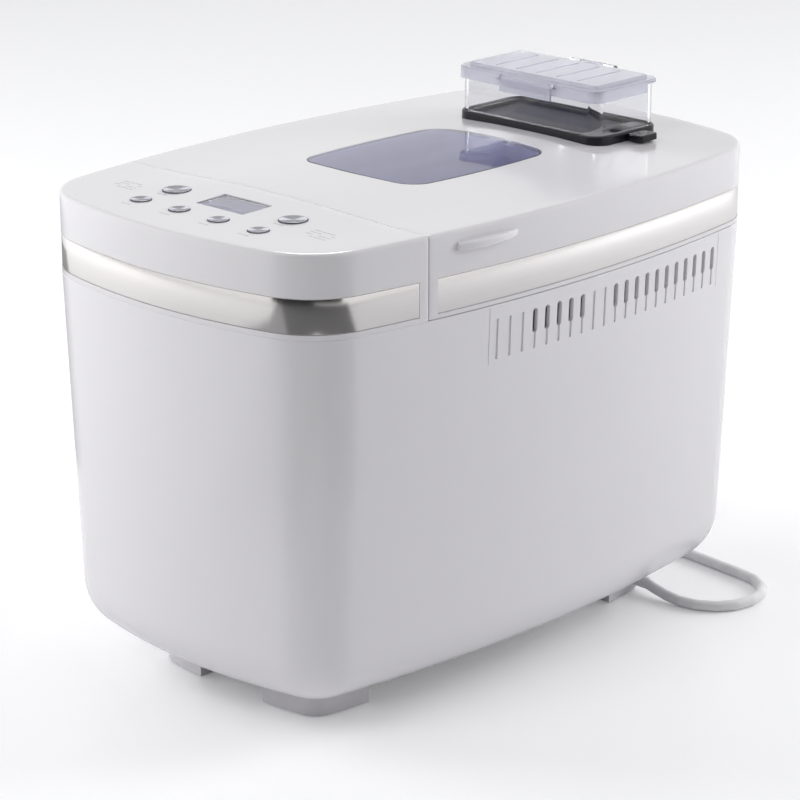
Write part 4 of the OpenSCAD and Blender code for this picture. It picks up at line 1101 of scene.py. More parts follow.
    def plug(self) -> Thing:
        """Turn the plug's moulded body with a ridged neck."""
        full, end = self.plug_radius, self.plug_length
        profile = [(self.plug_mouth, 0.0)]
        for i in range(self.plug_ridges):
            z, wide = 1.0 + 2.6 * i, 5.0 + 0.32 * i
            low = wide - self.ridge_depth
            profile += [(low, z - 0.45), (wide, z), (wide, z + 1.2), (low, z + 1.65)]
        profile += [*self.plug_neck, (full - 0.25, 31.0), (full, 32.0)]
        profile += [(full - inset, end - back) for inset, back in self.plug_face]
        thing = wrap("plug_body", Disc(0.0, steps=72), [(-r * MM, z * MM) for r, z in profile])
        thing.data.transform(self.plug_frame())
        dress(thing, FINISH.cord, Body.BASE, ("plug",), angle=40.0)
        return thing

    def pins(self) -> Thing:
        """Turn the plug's two round pins."""
        bars = []
        for side in (-1, 1):
            x = side * self.pin_gap / 2 * MM
            low, high = (self.plug_length - 2) * MM, (self.plug_length + self.pin_out) * MM
            bars.append(rod("pin", Vector((x, 0, low)), Vector((x, 0, high)), self.pin_radius * MM))
        thing = joined("plug_pins", bars)
        thing.data.transform(self.plug_frame())
        dress(thing, FINISH.pin, Body.BASE)
        return thing


# Cut shells that keep their shading


class Shading:
    """The smooth shading of a shell before it is cut, to give back to it after."""

    reach: float = 0.2 * MM
    agreement: float = 0.94

    def __init__(self, thing: Thing) -> None:
        """Read a shell's faces and their corner normals."""
        smooth(thing)
        mesh = thing.data
        mesh.calc_loop_triangles()
        normals = [Vector(corner.vector) for corner in mesh.corner_normals]
        self.corners = [tuple(t.vertices) for t in mesh.loop_triangles]
        self.normals = [tuple(normals[i] for i in t.loops) for t in mesh.loop_triangles]
        self.points = [v.co.copy() for v in mesh.vertices]
        self.tree = BVHTree.FromPolygons(self.points, self.corners)

    def at(self, place: Vector, facing: Vector) -> Optional[Vector]:
        """Give the shell's normal at a place on it, or None off it.

        Args:
            place: A point.
            facing: The normal of the face that the point belongs to.

        Returns:
            The smooth normal, where the face lies in the shell's surface.
        """
        near, _, index, distance = self.tree.find_nearest(place)
        if near is None or distance > self.reach:
            return None
        a, b, c = (self.points[i] for i in self.corners[index])
        first, second, third = self.normals[index]
        mixed = barycentric_transform(near, a, b, c, first, second, third).normalized()
        return mixed if mixed.dot(facing) > self.agreement else None

    def give_back(self, thing: Thing) -> None:
        """Give a cut shell its shading, and leave its new faces as they are."""
        smooth(thing)
        mesh = thing.data
        shown = [Vector(corner.vector) for corner in mesh.corner_normals]
        border: dict[int, set[bool]] = {}
        for face in mesh.polygons:
            kept = False
            for loop in face.loop_indices:
                place = mesh.vertices[mesh.loops[loop].vertex_index].co
                inner = place.lerp(face.center, 0.02)
                known = self.at(inner, face.normal)
                if known is not None:
                    shown[loop] = known
                    kept = True
            for loop in face.loop_indices:
                border.setdefault(mesh.loops[loop].edge_index, set()).add(kept)
        for edge, sides in border.items():
            if len(sides) == 2:
                mesh.edges[edge].use_edge_sharp = True
        mesh.normals_split_custom_set([tuple(normal) for normal in shown])


def bevelled(thing: Thing, width: float, steps: int = 2) -> Thing:
    """Round an object's sharp edges for good."""
    return applied(soften(thing, width, steps, 50.0))


def half_space(y: float, side: int) -> Thing:
    """Make a box that holds everything in front of (-1) or behind (1) a line across."""
    reach = 0.5
    span = (y, reach) if side > 0 else (-reach, y)
    return block("half", about(0.0, reach), span, about(0.0, reach))


def prism(name: str, shape: Shape, low: float, high: float = OVER_LID, inset: float = 0.0) -> Thing:
    """Make a plain tool from an outline, up to over the lid unless told otherwise."""
    return wrap(name, shape, [(inset, low), (inset, high)])


def rim_tool(name: str, shape: Shape, low: float, high: float, out: float, into: float) -> Thing:
    """Make an upright ring as a tool, from out beyond an outline to a depth inside it."""
    return wrap(name, shape, [(-out, low), (into, low), (into, high), (-out, high)], closed=True)


def hole(name: str, shape: Shape, low: float, mouth: float, flare: float = 0.35 * MM) -> Thing:
    """Make the tool for a hole whose mouth is eased.

    Args:
        name: The tool's name.
        shape: The hole's outline.
        low: Where the tool starts, under the surface.
        mouth: Height of the surface.
        flare: How far the mouth widens.

    Returns:
        The tool.
    """
    profile = [(0.0, low), (0.0, mouth - flare), (-flare * 0.3, mouth - flare * 0.3)]
    profile += [(-flare, mouth + flare * 0.05), (-flare * 1.5, mouth + 4 * MM)]
    return wrap(name, shape, profile)


# The crowned top


@dataclass(frozen=True)
class CrownedTop:
    """The block that the control panel end and the lid are cut from."""

    outline: Bowed = Bowed(0.131, 0.2065, 0.0225, 0.025, 0.045)
    top: float = 0.296
    edge: float = 0.0024
    wall: float = 0.0026
    crown: float = 0.003
    start: float = 0.020
    run: float = 0.100
    blend: float = 0.012
    split: float = -0.1135
    gap: float = 0.0006
    open_low: float = 0.240
    rings: tuple[float, ...] = (6, 10, 15, 20, 26, 32, 39, 46, 54, 62, 70, 79, 88, 97, 106, 115)

    def inset(self, x: float, y: float) -> float:
        """Give a point's distance inside the edge, eased where two sides compete."""
        side, end = self.outline.radii()
        from_side = side - math.hypot(abs(x) - (self.outline.half_x - side), y)
        from_end = end - math.hypot(x, abs(y) - (self.outline.half_y - end))
        nearest = min(from_side, from_end)
        spread = math.exp(-(max(from_side, from_end) - nearest) / self.blend)
        return nearest - self.blend * math.log(1.0 + spread) * 0.6

    def rise(self, x: float, y: float) -> float:
        """Give the crown's height over the top edge."""
        return self.crown * eased((self.inset(x, y) - self.start) / self.run)

    def height(self, x: float, y: float) -> float:
        """Give the height of the top's surface."""
        return self.top + self.rise(x, y)

    def lifted(self, x: float, y: float, z: float) -> float:
        """Raise a height by the crown."""
        return z + self.rise(x, y)

    def block(self, name: str, inside: float, low: float) -> Thing:
        """Make the whole block, a distance inside its outer face."""
        radius = max(self.edge - inside, 0.6 * MM)
        profile = [(inside, low), (inside, self.top - inside - radius - 0.5 * MM)]
        profile += edge_curve(inside + radius, self.top - inside - radius, radius, 0, 90, 6)
        profile += [(ring * MM, self.top - inside) for ring in self.rings]
        return wrap(name, self.outline, profile, lift=self.lifted)

    def face_x(self, y: float) -> float:
        """Give the half width of the outline at a place along it."""
        side, _ = self.outline.radii()
        return self.outline.half_x - side + math.sqrt(side * side - y * y)


TOP = CrownedTop()


# Casing


@dataclass(frozen=True)
class Casing:
    """The main shell with its vents."""

    seam: float = 0.247
    edge: float = 0.0004
    under: float = 0.0215
    bottom_radius: float = 0.0345
    draft: float = 0.036
    wall: float = 0.0026
    mouth_inset: float = 0.0494
    vent_count: int = 21
    open_runs: tuple[range, ...] = (range(3, 8), range(10, 21))
    vent_pitch: float = 0.0102
    vent_width: float = 0.0038
    vent_depth: float = 0.008
    groove_width: float = 0.0018
    groove_depth: float = 0.001
    vent_height: float = 0.024
    open_height: float = 0.0145
    vent_drop: float = 0.0086
    vent_start: float = -0.0618
    border: Level = (-0.068, 0.1484)
    border_low: float = 0.212
    line_width: float = 0.0005
    line_depth: float = 0.00025

    def bend(self) -> Point:
        """Give the inset and height of the bottom radius's centre."""
        height = self.under + self.bottom_radius
        return self.draft * (self.seam - height) + self.bottom_radius, height

    def profile(self) -> list[Level]:
        """Give the shell's wall, outer face first."""
        inset, height = self.bend()
        outer = [(self.mouth_inset, self.under)]
        outer += edge_curve(inset, height, self.bottom_radius, -90, 0, 14)
        for z in (height + 1.5 * MM, self.seam - 1 * MM):
            outer.append((self.draft * (self.seam - z), z))
        edge, level = self.edge, self.seam - self.edge
        outer += edge_curve(edge, level, edge, 0, 90, 3)
        inner = edge_curve(self.wall - edge, level, edge, 90, 180, 3)
        inner += edge_curve(inset, height, self.bottom_radius - self.wall, 0, -90, 10)
        inner += [(self.mouth_inset, self.under + self.wall)]
        return outer + inner

    def is_open(self, index: int) -> bool:
        """Tell the open slots from the grooves."""
        return any(index in run for run in self.open_runs)

    def slot_tool(self, side: int, y: float, span: Level, width: float, depth: float) -> Thing:
        """Make the tool for one slot or groove in a side wall.

        Args:
            side: -1 or 1, the wall.
            y: Place along the wall.
            span: Heights of its two ends.
            width: Its width.
            depth: How deep it is cut.

        Returns:
            The tool.
        """
        bottom, top = span
        middle = (top + bottom) / 2
        shape = Rounded(width, top - bottom, width / 2, corner_steps=7)
        ease = min(0.3 * MM, width * 0.1)
        profile = [(0.0, -depth), (0.0, -ease), (-ease * 0.3, -ease * 0.3)]
        tool = wrap("slot", shape, profile + [(-ease, 0.0), (-ease, 2 * MM)])
        inset = self.draft * (self.seam - middle)
        out = Vector((side * (TOP.face_x(y) - inset), y, middle))
        bow, _ = TOP.outline.radii()
        lean = math.asin(y / bow)
        normal = Vector((side * math.cos(lean), math.sin(lean), -self.draft)).normalized()
        level = Vector((0, 0, 1)).cross(normal).normalized()
        turn = Matrix((level, normal.cross(level), normal)).transposed().to_4x4()
        tool.data.transform(Matrix.Translation(out) @ turn)
        return tool

    def build(self) -> None:
        """Make the shell and cut its vents."""
        shell = wrap("casing_shell", TOP.outline, self.profile(), closed=True)
        shading = Shading(shell)
        top = self.seam - self.vent_drop
        tall, short = (top - self.vent_height, top), (top - self.open_height, top)
        line = (self.border_low, self.seam - 1 * MM)
        grooves, slots = [], []
        for side in (-1, 1):
            for index in range(self.vent_count):
                y = self.vent_start + index * self.vent_pitch
                grooves.append(self.slot_tool(side, y, tall, self.groove_width, self.groove_depth))
                if self.is_open(index):
                    slots.append(self.slot_tool(side, y, short, self.vent_width, self.vent_depth))
            for y in self.border:
                grooves.append(self.slot_tool(side, y, line, self.line_width, self.line_depth))
        carve(shell, joined("grooves", grooves), joined("slots", slots))
        shading.give_back(shell)
        dress(shell, FINISH.casing, Body.BASE, ("body_shell",), angle=None)


# Trim bands


@dataclass(frozen=True)
class Bands:
    """The steel bands round the control panel end and the lid."""

    low: float = 0.2504
    height: float = 0.020
    thick: float = 0.0008
    back: float = 0.0002
    end: float = 0.0066
    hinge_x: float = 0.048
    hinge_width: float = 0.034
    notch_y: Level = (0.18, 0.24)
    notch_z: Level = (0.2, 0.257)

    def ring(self, name: str) -> Thing:
        """Make the band all the way round."""
        edge = 0.22 * MM
        high = self.low + self.height
        profile = side_curve(self.back, self.low, high, edge, edge, 3)
        profile += [(self.back + self.thick, high), (self.back + self.thick, self.low)]
        return wrap(name, TOP.outline, profile, closed=True)

    def recess(self, y: float, side: int) -> Thing:
        """Make the tool for the recess that a band lies in, up to a line across."""
        low, high = self.low - 0.25 * MM, self.low + self.height + 0.25 * MM
        ring = rim_tool("recess", TOP.outline, low, high, 2 * MM, self.thick + 0.3 * MM)
        return carve(ring, half_space(y, side), how=Cut.KEEP)

    def build(self) -> None:
        """Make both bands."""
        front = carve(self.ring("front_trim"), half_space(TOP.split - self.end, -1), how=Cut.KEEP)
        dress(front, FINISH.trim, Body.BASE, ("front_band",), angle=40.0)
        rear = carve(self.ring("lid_trim"), half_space(TOP.split + self.end, 1), how=Cut.KEEP)
        for side in (-1, 1):
            across = about(side * self.hinge_x, self.hinge_width / 2)
            carve(rear, block("notch", across, self.notch_y, self.notch_z))
        dress(rear, FINISH.trim, Body.LID, ("lid_band",), angle=40.0)


# The crowned top's two hollow ends


def hollow_end(name: str, low: float, side: int) -> tuple[Thing, Shading]:
    """Make one hollow end of the crowned top, with the recess of its band.

    Args:
        name: The object's name.
        low: Height of its lower edge.
        side: -1 for the control panel end, 1 for the lid.

    Returns:
        The shell, and its shading from before it was hollowed.
    """
    face = TOP.split + side * TOP.gap / 2
    shell = carve(TOP.block(name, 0.0, low), half_space(face, side), how=Cut.KEEP)
    bevelled(shell, 0.35 * MM, 3)
    shading = Shading(shell)
    hollow = TOP.block("hollow", TOP.wall, TOP.open_low)
    carve(hollow, half_space(face + side * TOP.wall, side), how=Cut.KEEP)
    bands = Bands()
    recess = bands.recess(TOP.split + side * (bands.end - 0.2 * MM), side)
    return carve(shell, hollow, recess), shading


# Control panel end


@dataclass(frozen=True)
class KeyPlace:
    """A key: its node, body, place and radius."""

    node: str
    body: Body
    x: float
    y: float
    radius: float


@dataclass(frozen=True)
class ControlPanel:
    """The fixed end with its keys, display and print."""

    low: float = 0.247
    large: float = 0.0082
    small: float = 0.006
    large_x: float = 0.0485
    far_row: float = -0.144
    near_row: float = -0.171
    pitch: float = 0.0326
    proud: float = 0.0007
    gap: float = 0.0003
    flange: float = 0.0013
    flange_gap: float = 0.0008
    flange_thick: float = 0.0012
    dish: float = 0.00035
    ease: float = 0.0003
    stem: float = 0.0022
    switch_top: float = 0.2858
    display: Point = (0.0386, 0.0224)
    display_sunk: float = 0.00045
    lens: float = 0.0014
    board: float = 0.2795
    post_x: Level = (-0.068, 0.068)
    post_y: Level = (-0.165, -0.1298)
    post_low: float = 0.2811
    post_radius: float = 0.003
    label: Points = ((-4.0, 2.6), (-0.9, 1.6), (1.2, 2.9))
    label_drop: float = 0.0118
    text: Point = (0.080, -0.149)
    words: Points = ((-9.0, 5.0), (-3.2, 3.0), (0.6, 6.0), (7.4, 2.6))
    lines: int = 4
    line: float = 0.0036

    def keys(self) -> list[KeyPlace]:
        """List the keys."""
        places = [
            KeyPlace("key_large_left", Body.LEFT_KEY, -self.large_x, self.far_row, self.large),
            KeyPlace("key_large_right", Body.RIGHT_KEY, self.large_x, self.far_row, self.large),
        ]
        rows = (Body.KEY_1, Body.KEY_2, Body.KEY_3, Body.KEY_4)
        for i, body in enumerate(rows):
            x = (i - 1.5) * self.pitch
            places.append(KeyPlace(f"key_small_{i + 1}", body, x, self.near_row, self.small))
        return places

    def build(self) -> None:
        """Make the housing and everything on it."""
        self.housing()
        for place in self.keys():
            self.key(place)
        self.display_pieces()
        self.print_marks()

    def housing(self) -> None:
        """Make the housing, hollow, with its holes and the band's recess."""
        shell, shading = hollow_end("panel_end", self.low, -1)
        tools = []
        for key in self.keys():
            shape = Disc(key.radius + self.gap, (key.x, key.y), 96)
            tools.append(hole("key_hole", shape, self.board, TOP.height(key.x, key.y)))
        shape, mouth = self.display_shape(0.6 * MM, 0.6 * MM), TOP.height(0.0, self.far_row)
        tools.append(hole("display_hole", shape, self.board, mouth, 0.25 * MM))
        carve(shell, joined("holes", tools))
        shading.give_back(shell)
        dress(shell, FINISH.casing, Body.BASE, ("panel_housing",), angle=None)
        posts = []
        for x in self.post_x:
            for y in self.post_y:
                start, end = (x, y, self.post_low), (x, y, TOP.height(x, y) - 2.2 * MM)
                posts.append(rod("post", Vector(start), Vector(end), self.post_radius))
        dress(joined("panel_posts", posts), FINISH.inner_white, Body.BASE)

    def key(self, place: KeyPlace) -> None:
        """Turn one key: a dished cap over its flange and stem."""
        top = TOP.height(place.x, place.y) + self.proud
        flange_top = top - self.proud - TOP.wall - self.flange_gap
        radius, dish, ease = place.radius, self.dish, self.ease
        flange, under = radius + self.flange, flange_top - self.flange_thick
        profile = [(self.stem, self.switch_top), (self.stem, under), (flange, under)]
        profile.append((flange, flange_top))
        profile += [(radius, flange_top), (radius, top - ease)]
        for i in range(1, 6):
            angle = math.radians(18 * i)
            profile.append(
                (radius - ease * (1 - math.cos(angle)), top - ease * (1 - math.sin(angle)))
            )
        inner = radius - 0.5 * MM
        for i in range(1, 12):
            part = i / 12
            profile.append((inner * (1 - part) + 0.0001, top - dish * (1 - (1 - part) ** 2) ** 0.9))
        shape = Disc(0.0, (place.x, place.y), 96)
        thing = wrap(place.node + "_cap", shape, [(-r, z) for r, z in profile])
        dress(thing, FINISH.key, place.body, (place.node,), angle=50.0)

    def display_shape(self, grow: float, corner: float) -> Rounded:
        """Give the display's outline, made wider and deeper by a distance."""
        wide, deep = self.display
        return Rounded(wide + grow, deep + grow, corner, (0.0, self.far_row))

    def display_pieces(self) -> None:
        """Set the display's lens, and a dark ring round it whose colour paints the shade along the
        display's recessed edges.
        """
        high = TOP.top - self.display_sunk
        shape = self.display_shape(-1.2 * MM, 0.4 * MM)
        profile = [(0.0, high - self.lens), (0.0, high - 0.15 * MM), (0.15 * MM, high)]
        profile += [(ring * MM, high) for ring in (2.0, 4.0, 6.0, 8.0, 10.0)]
        lens = wrap("display_lens", shape, profile, lift=TOP.lifted)
        dress(lens, FINISH.display_glass, Body.BASE, ("lcd_lens",))
        # The dark ring round the lens paints the shade that the recess's walls cast on the
        # display's far edges.
        shape = self.display_shape(0.0, 0.4 * MM)
        profile = [(0.0, high - self.lens), (0.0, high + 0.1 * MM), (0.55 * MM, high + 0.1 * MM)]
        profile += [(0.58 * MM, high - self.lens)]
        shade_ring = wrap("display_shade_ring", shape, profile, closed=True, lift=TOP.lifted)
        dress(shade_ring, FINISH.shade_ring, Body.BASE)

    def print_marks(self) -> None:
        """Lay the faint print: short strokes beside the keys and in two small blocks."""
        marks = []
        for key in self.keys():
            for start, wide in self.label:
                x, y = key.x + start * MM, key.y - self.label_drop
                marks.append(self.mark(x, y, wide * MM, 0.7 * MM))
        for side in (-1, 1):
            for row in range(self.lines):
                for i, (start, wide) in enumerate(self.words):
                    if (i + row) % len(self.words) != 3:
                        x, y = side * self.text[0] + start * MM, self.text[1] - row * self.line
                        marks.append(self.mark(x, y, wide * MM, 0.6 * MM))
        dress(joined("panel_print", marks), FINISH.ink, Body.BASE)

    def mark(self, x: float, y: float, wide: float, deep: float) -> Thing:
        """Make one thin printed stroke on the surface."""
        rings = []
        for lift in (-0.01 * MM, 0.02 * MM):
            spots = [(x, y), (x + wide, y), (x + wide, y + deep), (x, y + deep)]
            rings.append([(px, py, TOP.height(px, py) + lift) for px, py in spots])
        return skin("stroke", rings)


# Lid


@dataclass(frozen=True)
class Lid:
    """The hinged lid with its finger lips and its window."""

    low: float = 0.2475
    inside: float = 0.267
    seat: Rounded = Rounded(0.1204, 0.0614, 0.0122, (0.0, 0.133))
    seat_low: float = 0.297
    chute: Rounded = Rounded(0.1014, 0.0524, 0.006, (-0.006, 0.133))
    window: Bowed = Bowed(0.0505, 0.0635, 0.004, 0.005, 0.017, (0.0, 0.013), 16, 10, 16)
    pane: float = 0.0024
    lip_length: float = 0.050
    lip_out: float = 0.005
    lip_back: float = 0.020
    lip_drop: float = 0.007
    lip_height: float = 0.005
    hinge: Point = (0.2087, 0.2495)
    hinge_x: float = 0.048
    knuckle: float = 0.016
    barrel: float = 0.0035
    bore: float = 0.0018

    def build(self) -> None:
        """Make the shell, its knuckles and the outer pane."""
        self.shell()
        self.knuckles()
        self.outer_pane()

    def lip(self, side: int) -> Thing:
        """Make one finger lip, a shallow arc that stands out of the wall."""
        middle = TOP.split + TOP.gap / 2 + self.lip_back + self.lip_length / 2
        radius = (self.lip_length**2 / 4 + self.lip_out**2) / (2 * self.lip_out)
        face = TOP.face_x(middle)
        high = TOP.top - self.lip_drop
        shape = Disc(radius, (side * (face + self.lip_out - radius), middle), 360)
        thing = slab("lip", shape, high - self.lip_height, high, 1.8 * MM, 1.4 * MM)
        across = sorted((side * (face - TOP.wall), side * (face + 20 * MM)))
        crop = block("crop", across, about(middle, self.lip_length / 2), about(high, 0.1))
        return carve(thing, crop, how=Cut.KEEP)

    def shell(self) -> None:
        """Make the lid's shell with its openings."""
        shell, shading = hollow_end("lid_cover", self.low, 1)
        carve(shell, self.lip(-1), self.lip(1), how=Cut.JOIN)
        seat = prism("seat", self.seat, self.seat_low)
        carve(shell, self.window_hole(), seat, prism("chute", self.chute, self.inside))
        shading.give_back(shell)
        dress(shell, FINISH.casing, Body.LID, ("lid_shell",), angle=None)

    def window_hole(self) -> Thing:
        """Make the tool for the window's opening, its mouth eased along the crown."""
        gap = 0.3 * MM
        mouth = -gap - 0.35 * MM
        profile = [(-gap, self.inside), (-gap, TOP.top - 0.4 * MM)]
        profile += [(-gap - 0.1 * MM, TOP.top - 0.1 * MM), (mouth, TOP.top + 0.05 * MM)]
        profile += [(mouth, TOP.top + 6 * MM)]
        return wrap("window_hole", self.window, profile, lift=TOP.lifted)

    def knuckles(self) -> None:
        """Make the barrels that turn on the hinge pins, with their webs."""
        parts = []
        y, z = self.hinge
        for side in (-1, 1):
            x = side * self.hinge_x
            barrel = along_x("barrel", x, self.knuckle, self.hinge, self.barrel, 48)
            bore = along_x("bore", x, LONG_BORE, self.hinge, self.bore, 32)
            across, deep = about(x, self.knuckle / 2), (y - 6.9 * MM, y - 1.2 * MM)
            web = block("web", across, deep, (self.low + 0.2 * MM, z + self.barrel))
            clear = along_x("clear", x, LONG_BORE, self.hinge, self.barrel - 0.1 * MM, 48)
            parts += [carve(barrel, bore), carve(bevelled(web, 0.5 * MM), clear)]
        dress(joined("lid_knuckles", parts), FINISH.casing, Body.LID)

    def outer_pane(self) -> None:
        """Make the outer pane, which follows the lid's crown."""
        edge, thick = 0.5 * MM, self.pane
        profile = [(ring * MM, TOP.top - thick) for ring in (30, 15, 6)]
        profile += edge_curve(0.2 * MM, TOP.top - thick + 0.2 * MM, 0.2 * MM, -90, 0, 2)
        profile += edge_curve(edge, TOP.top - edge, edge, 0, 90, 4)
        profile += [(ring * MM, TOP.top) for ring in (3, 8, 14, 20, 27, 34, 41, 47)]
        pane = wrap("window_pane", self.window, profile, lift=TOP.lifted)
        dress(pane, FINISH.window, Body.LID, ("window_outer",), angle=40.0)


# Dispenser


@dataclass(frozen=True)
class Flap:
    """Sizes of the dispenser's drop flap, of its opening and of its pins."""

    opening: tuple[Level, Level] = ((-0.0524, 0.0404), (0.1115, 0.1577))
    opening_low: float = 0.29
    plate: Rounded = Rounded(0.092, 0.044, 0.0012, (-0.006, 0.134), 6)
    low: float = 0.2975
    high: float = 0.2999
    axis: Point = (0.156, 0.2987)
    bar: Point = (0.092, 0.0012)
    pin: Point = (0.097, 0.0011)
    bore: Point = (0.098, 0.00115)


@dataclass(frozen=True)
class Clasp:
    """Sizes of the cover's clasp and of the ears that hold it."""

    x: float = 0.002
    axis: Point = (0.1005, 0.3298)
    width: float = 0.042
    thick: float = 0.0018
    height: float = 0.009
    bar: float = 0.0012
    pin: float = 0.0007
    bore: float = 0.00075
    ear: float = 0.0024
    ear_radius: float = 0.0017
    ridges: tuple[float, ...] = (0.0012, 0.0025, 0.0038)


@dataclass(frozen=True)
class Latch:
    """Sizes of the drop flap's latch and of its grip."""

    x: float = 0.0408
    y: float = 0.137
    width: float = 0.014
    low: float = 0.2982
    thick: float = 0.0018
    grip: float = 0.012
    rise: float = 0.0038
    gap: float = 0.0003
    ridges: tuple[float, ...] = (0.0034, 0.0060, 0.0086)


@dataclass(frozen=True)
class Dispenser:
    """The fruit and nut dispenser on the lid."""

    y: float = 0.133
    base: Rounded = Rounded(0.120, 0.061, 0.012, (0.0, 0.133), 12)
    seat: float = 0.297
    base_top: float = 0.303
    dent: Disc = Disc(0.005, (0.0503, 0.130), 48)
    box: Rounded = Rounded(0.113, 0.057, 0.007, (0.0, 0.133), 12)
    wall: float = 0.002
    box_low: float = 0.301
    box_top: float = 0.329
    cover: Rounded = Rounded(0.118, 0.062, 0.009, (0.0, 0.133), 12)
    cover_low: float = 0.3294
    cover_thick: float = 0.0022
    skirt: float = 0.0056
    panel_rise: float = 0.002
    cover_cut: float = 0.014
    ribs: tuple[float, ...] = (-0.034, -0.017, 0.0, 0.017, 0.034)
    rib_half: float = 0.0195
    hinge: Point = (0.1671, 0.330)
    ear_x: float = 0.014
    ear: float = 0.009
    barrel: float = 0.0025
    pin: float = 0.00105
    flap: Flap = Flap()
    clasp: Clasp = Clasp()
    latch: Latch = Latch()

    def build(self) -> None:
        """Make every piece of the dispenser."""
        self.base_piece()
        self.flap_piece()
        self.clear_box()
        self.cover_piece()
        self.clasp_piece()
        self.latch_piece()

    def base_piece(self) -> None:
        """Make the dark base with its seat, pocket and openings."""
        base = slab("dispenser_tray", self.base, self.seat, self.base_top, 0.3 * MM, 1.5 * MM)
        smooth(base)
        flap, latch, gap, floor = self.flap, self.latch, 0.2 * MM, self.base_top - 1 * MM
        (x0, x1), (y0, y1) = flap.opening
        opening = Rounded(x1 - x0, y1 - y0, 0.8 * MM, ((x0 + x1) / 2, (y0 + y1) / 2))
        along, across = (latch.x - 6 * MM, 0.08), about(latch.y, latch.width / 2 + latch.gap)
        height = (latch.low - latch.gap, latch.low + latch.thick + latch.gap)
        carve(
            base,
            rim_tool("rim", self.box, self.box_low, OVER_LID, gap, self.wall + gap),
            prism("pocket", self.box, floor, inset=self.wall),
            prism("flap_hole", opening, flap.opening_low),
            hole("dent", self.dent, self.base_top - 2.2 * MM, floor, 0.3 * MM),
            block("latch_slot", along, across, height),
            self.flap_rod("flap_bore", *flap.bore),
        )
        dress(base, FINISH.dark, Body.LID, ("dispenser_base",))

    def flap_rod(self, name: str, width: float, radius: float) -> Thing:
        """Make a bar along the flap's axis."""
        return along_x(name, self.flap.plate.centre[0], width, self.flap.axis, radius)

    def flap_piece(self) -> None:
        """Make the drop flap with its hinge bar and its pins."""
        flap = self.flap
        plate = slab("drop_flap", flap.plate, flap.low, flap.high, 0.2 * MM, 0.4 * MM)
        bar, pin = self.flap_rod("flap_bar", *flap.bar), self.flap_rod("flap_pin", *flap.pin)
        thing = joined("drop_flap_piece", [plate, bar, pin])
        dress(thing, FINISH.floor_dark, Body.FLAP, ("dispenser_flap",))

    def clear_box(self) -> None:
        """Make the clear box with its two rear hinge ears."""
        box = rim_frame("clear_box", self.box, self.box_low, self.box_top, self.wall, 0.35 * MM)
        y, z = self.hinge
        back, top = self.y + self.box.depth / 2, self.box_top
        for side in (-1, 1):
            x = side * self.ear_x
            across = about(x, self.ear / 2)
            arm = block("arm", across, (back - 0.6 * MM, y + 1 * MM), (top - 7 * MM, top - 2 * MM))
            post = block("post", across, about(y, 1.5 * MM), (top - 5 * MM, z))
            ear = along_x("ear", x, self.ear, self.hinge, self.barrel)
            carve(box, bevelled(arm, 0.5 * MM), post, ear, how=Cut.JOIN)
        carve(box, along_x("pin_bore", 0.0, LONG_BORE, self.hinge, self.pin))
        dress(box, FINISH.clear, Body.LID, ("dispenser_hopper",), angle=40.0)

    def cover_piece(self) -> None:
        """Make the clear cover: a skirted plate with a raised, ribbed panel."""
        high, low = self.cover_low + self.cover_thick, self.cover_low - self.skirt
        edge, top = 0.9 * MM, high + self.panel_rise
        profile = [(0.25 * MM, low), (0.0, low + 0.25 * MM)]
        profile += edge_curve(edge, high - edge, edge, 0, 90, 5)
        profile += [(5.2 * MM, high), (5.7 * MM, high + 0.3 * MM), (6.0 * MM, top - 0.5 * MM)]
        profile += [(6.3 * MM, top - 0.1 * MM), (6.8 * MM, top)]
        cover = wrap("cover_shell", self.cover, profile)
        inner = [(2 * MM, low - 1 * MM), (2 * MM, self.cover_low - 0.4 * MM)]
        inside = wrap("inside", self.cover, [*inner, (2.4 * MM, self.cover_low)])
        rear = self.y + self.cover.depth / 2
        along = (rear - self.cover_cut, rear + 20 * MM)
        cut = block("cut", about(0.0, 0.1), along, (0.3, self.cover_low - 0.02 * MM))
        carve(cover, inside, cut)
        width = 2 * self.ear_x - self.ear - 0.8 * MM
        along, height = (rear - 2 * MM, self.hinge[0]), (self.cover_low, high - 0.02 * MM)
        tongue = block("tongue", about(0.0, width / 2), along, height)
        knuckle = along_x("knuckle", 0.0, width, self.hinge, self.barrel)
        carve(cover, tongue, knuckle, how=Cut.JOIN)
        for x in self.ribs:
            height = (top - 0.1 * MM, top + 0.35 * MM)
            rib = block("rib", about(x, 0.5 * MM), about(self.y, self.rib_half), height)
            carve(cover, rib, how=Cut.JOIN)
        self.clasp_ears(cover)
        carve(cover, along_x("pin_bore", 0.0, width + 4 * MM, self.hinge, self.pin))
        dress(cover, FINISH.hazy, Body.COVER, ("dispenser_cover",), angle=40.0)

    def clasp_ears(self, cover: Thing) -> None:
        """Give the cover the two ears that hold the clasp, and bore them."""
        clasp = self.clasp
        y, z = clasp.axis
        for side in (-1, 1):
            x = clasp.x + side * (clasp.width / 2 + clasp.ear / 2 + 0.3 * MM)
            ear = along_x("clasp_ear", x, clasp.ear, clasp.axis, clasp.ear_radius)
            web = block("ear_web", about(x, clasp.ear / 2), (y, y + 2.4 * MM), about(z, 1.65 * MM))
            carve(cover, ear, web, how=Cut.JOIN)
        carve(cover, along_x("clasp_bore", clasp.x, clasp.width + 10 * MM, clasp.axis, clasp.bore))

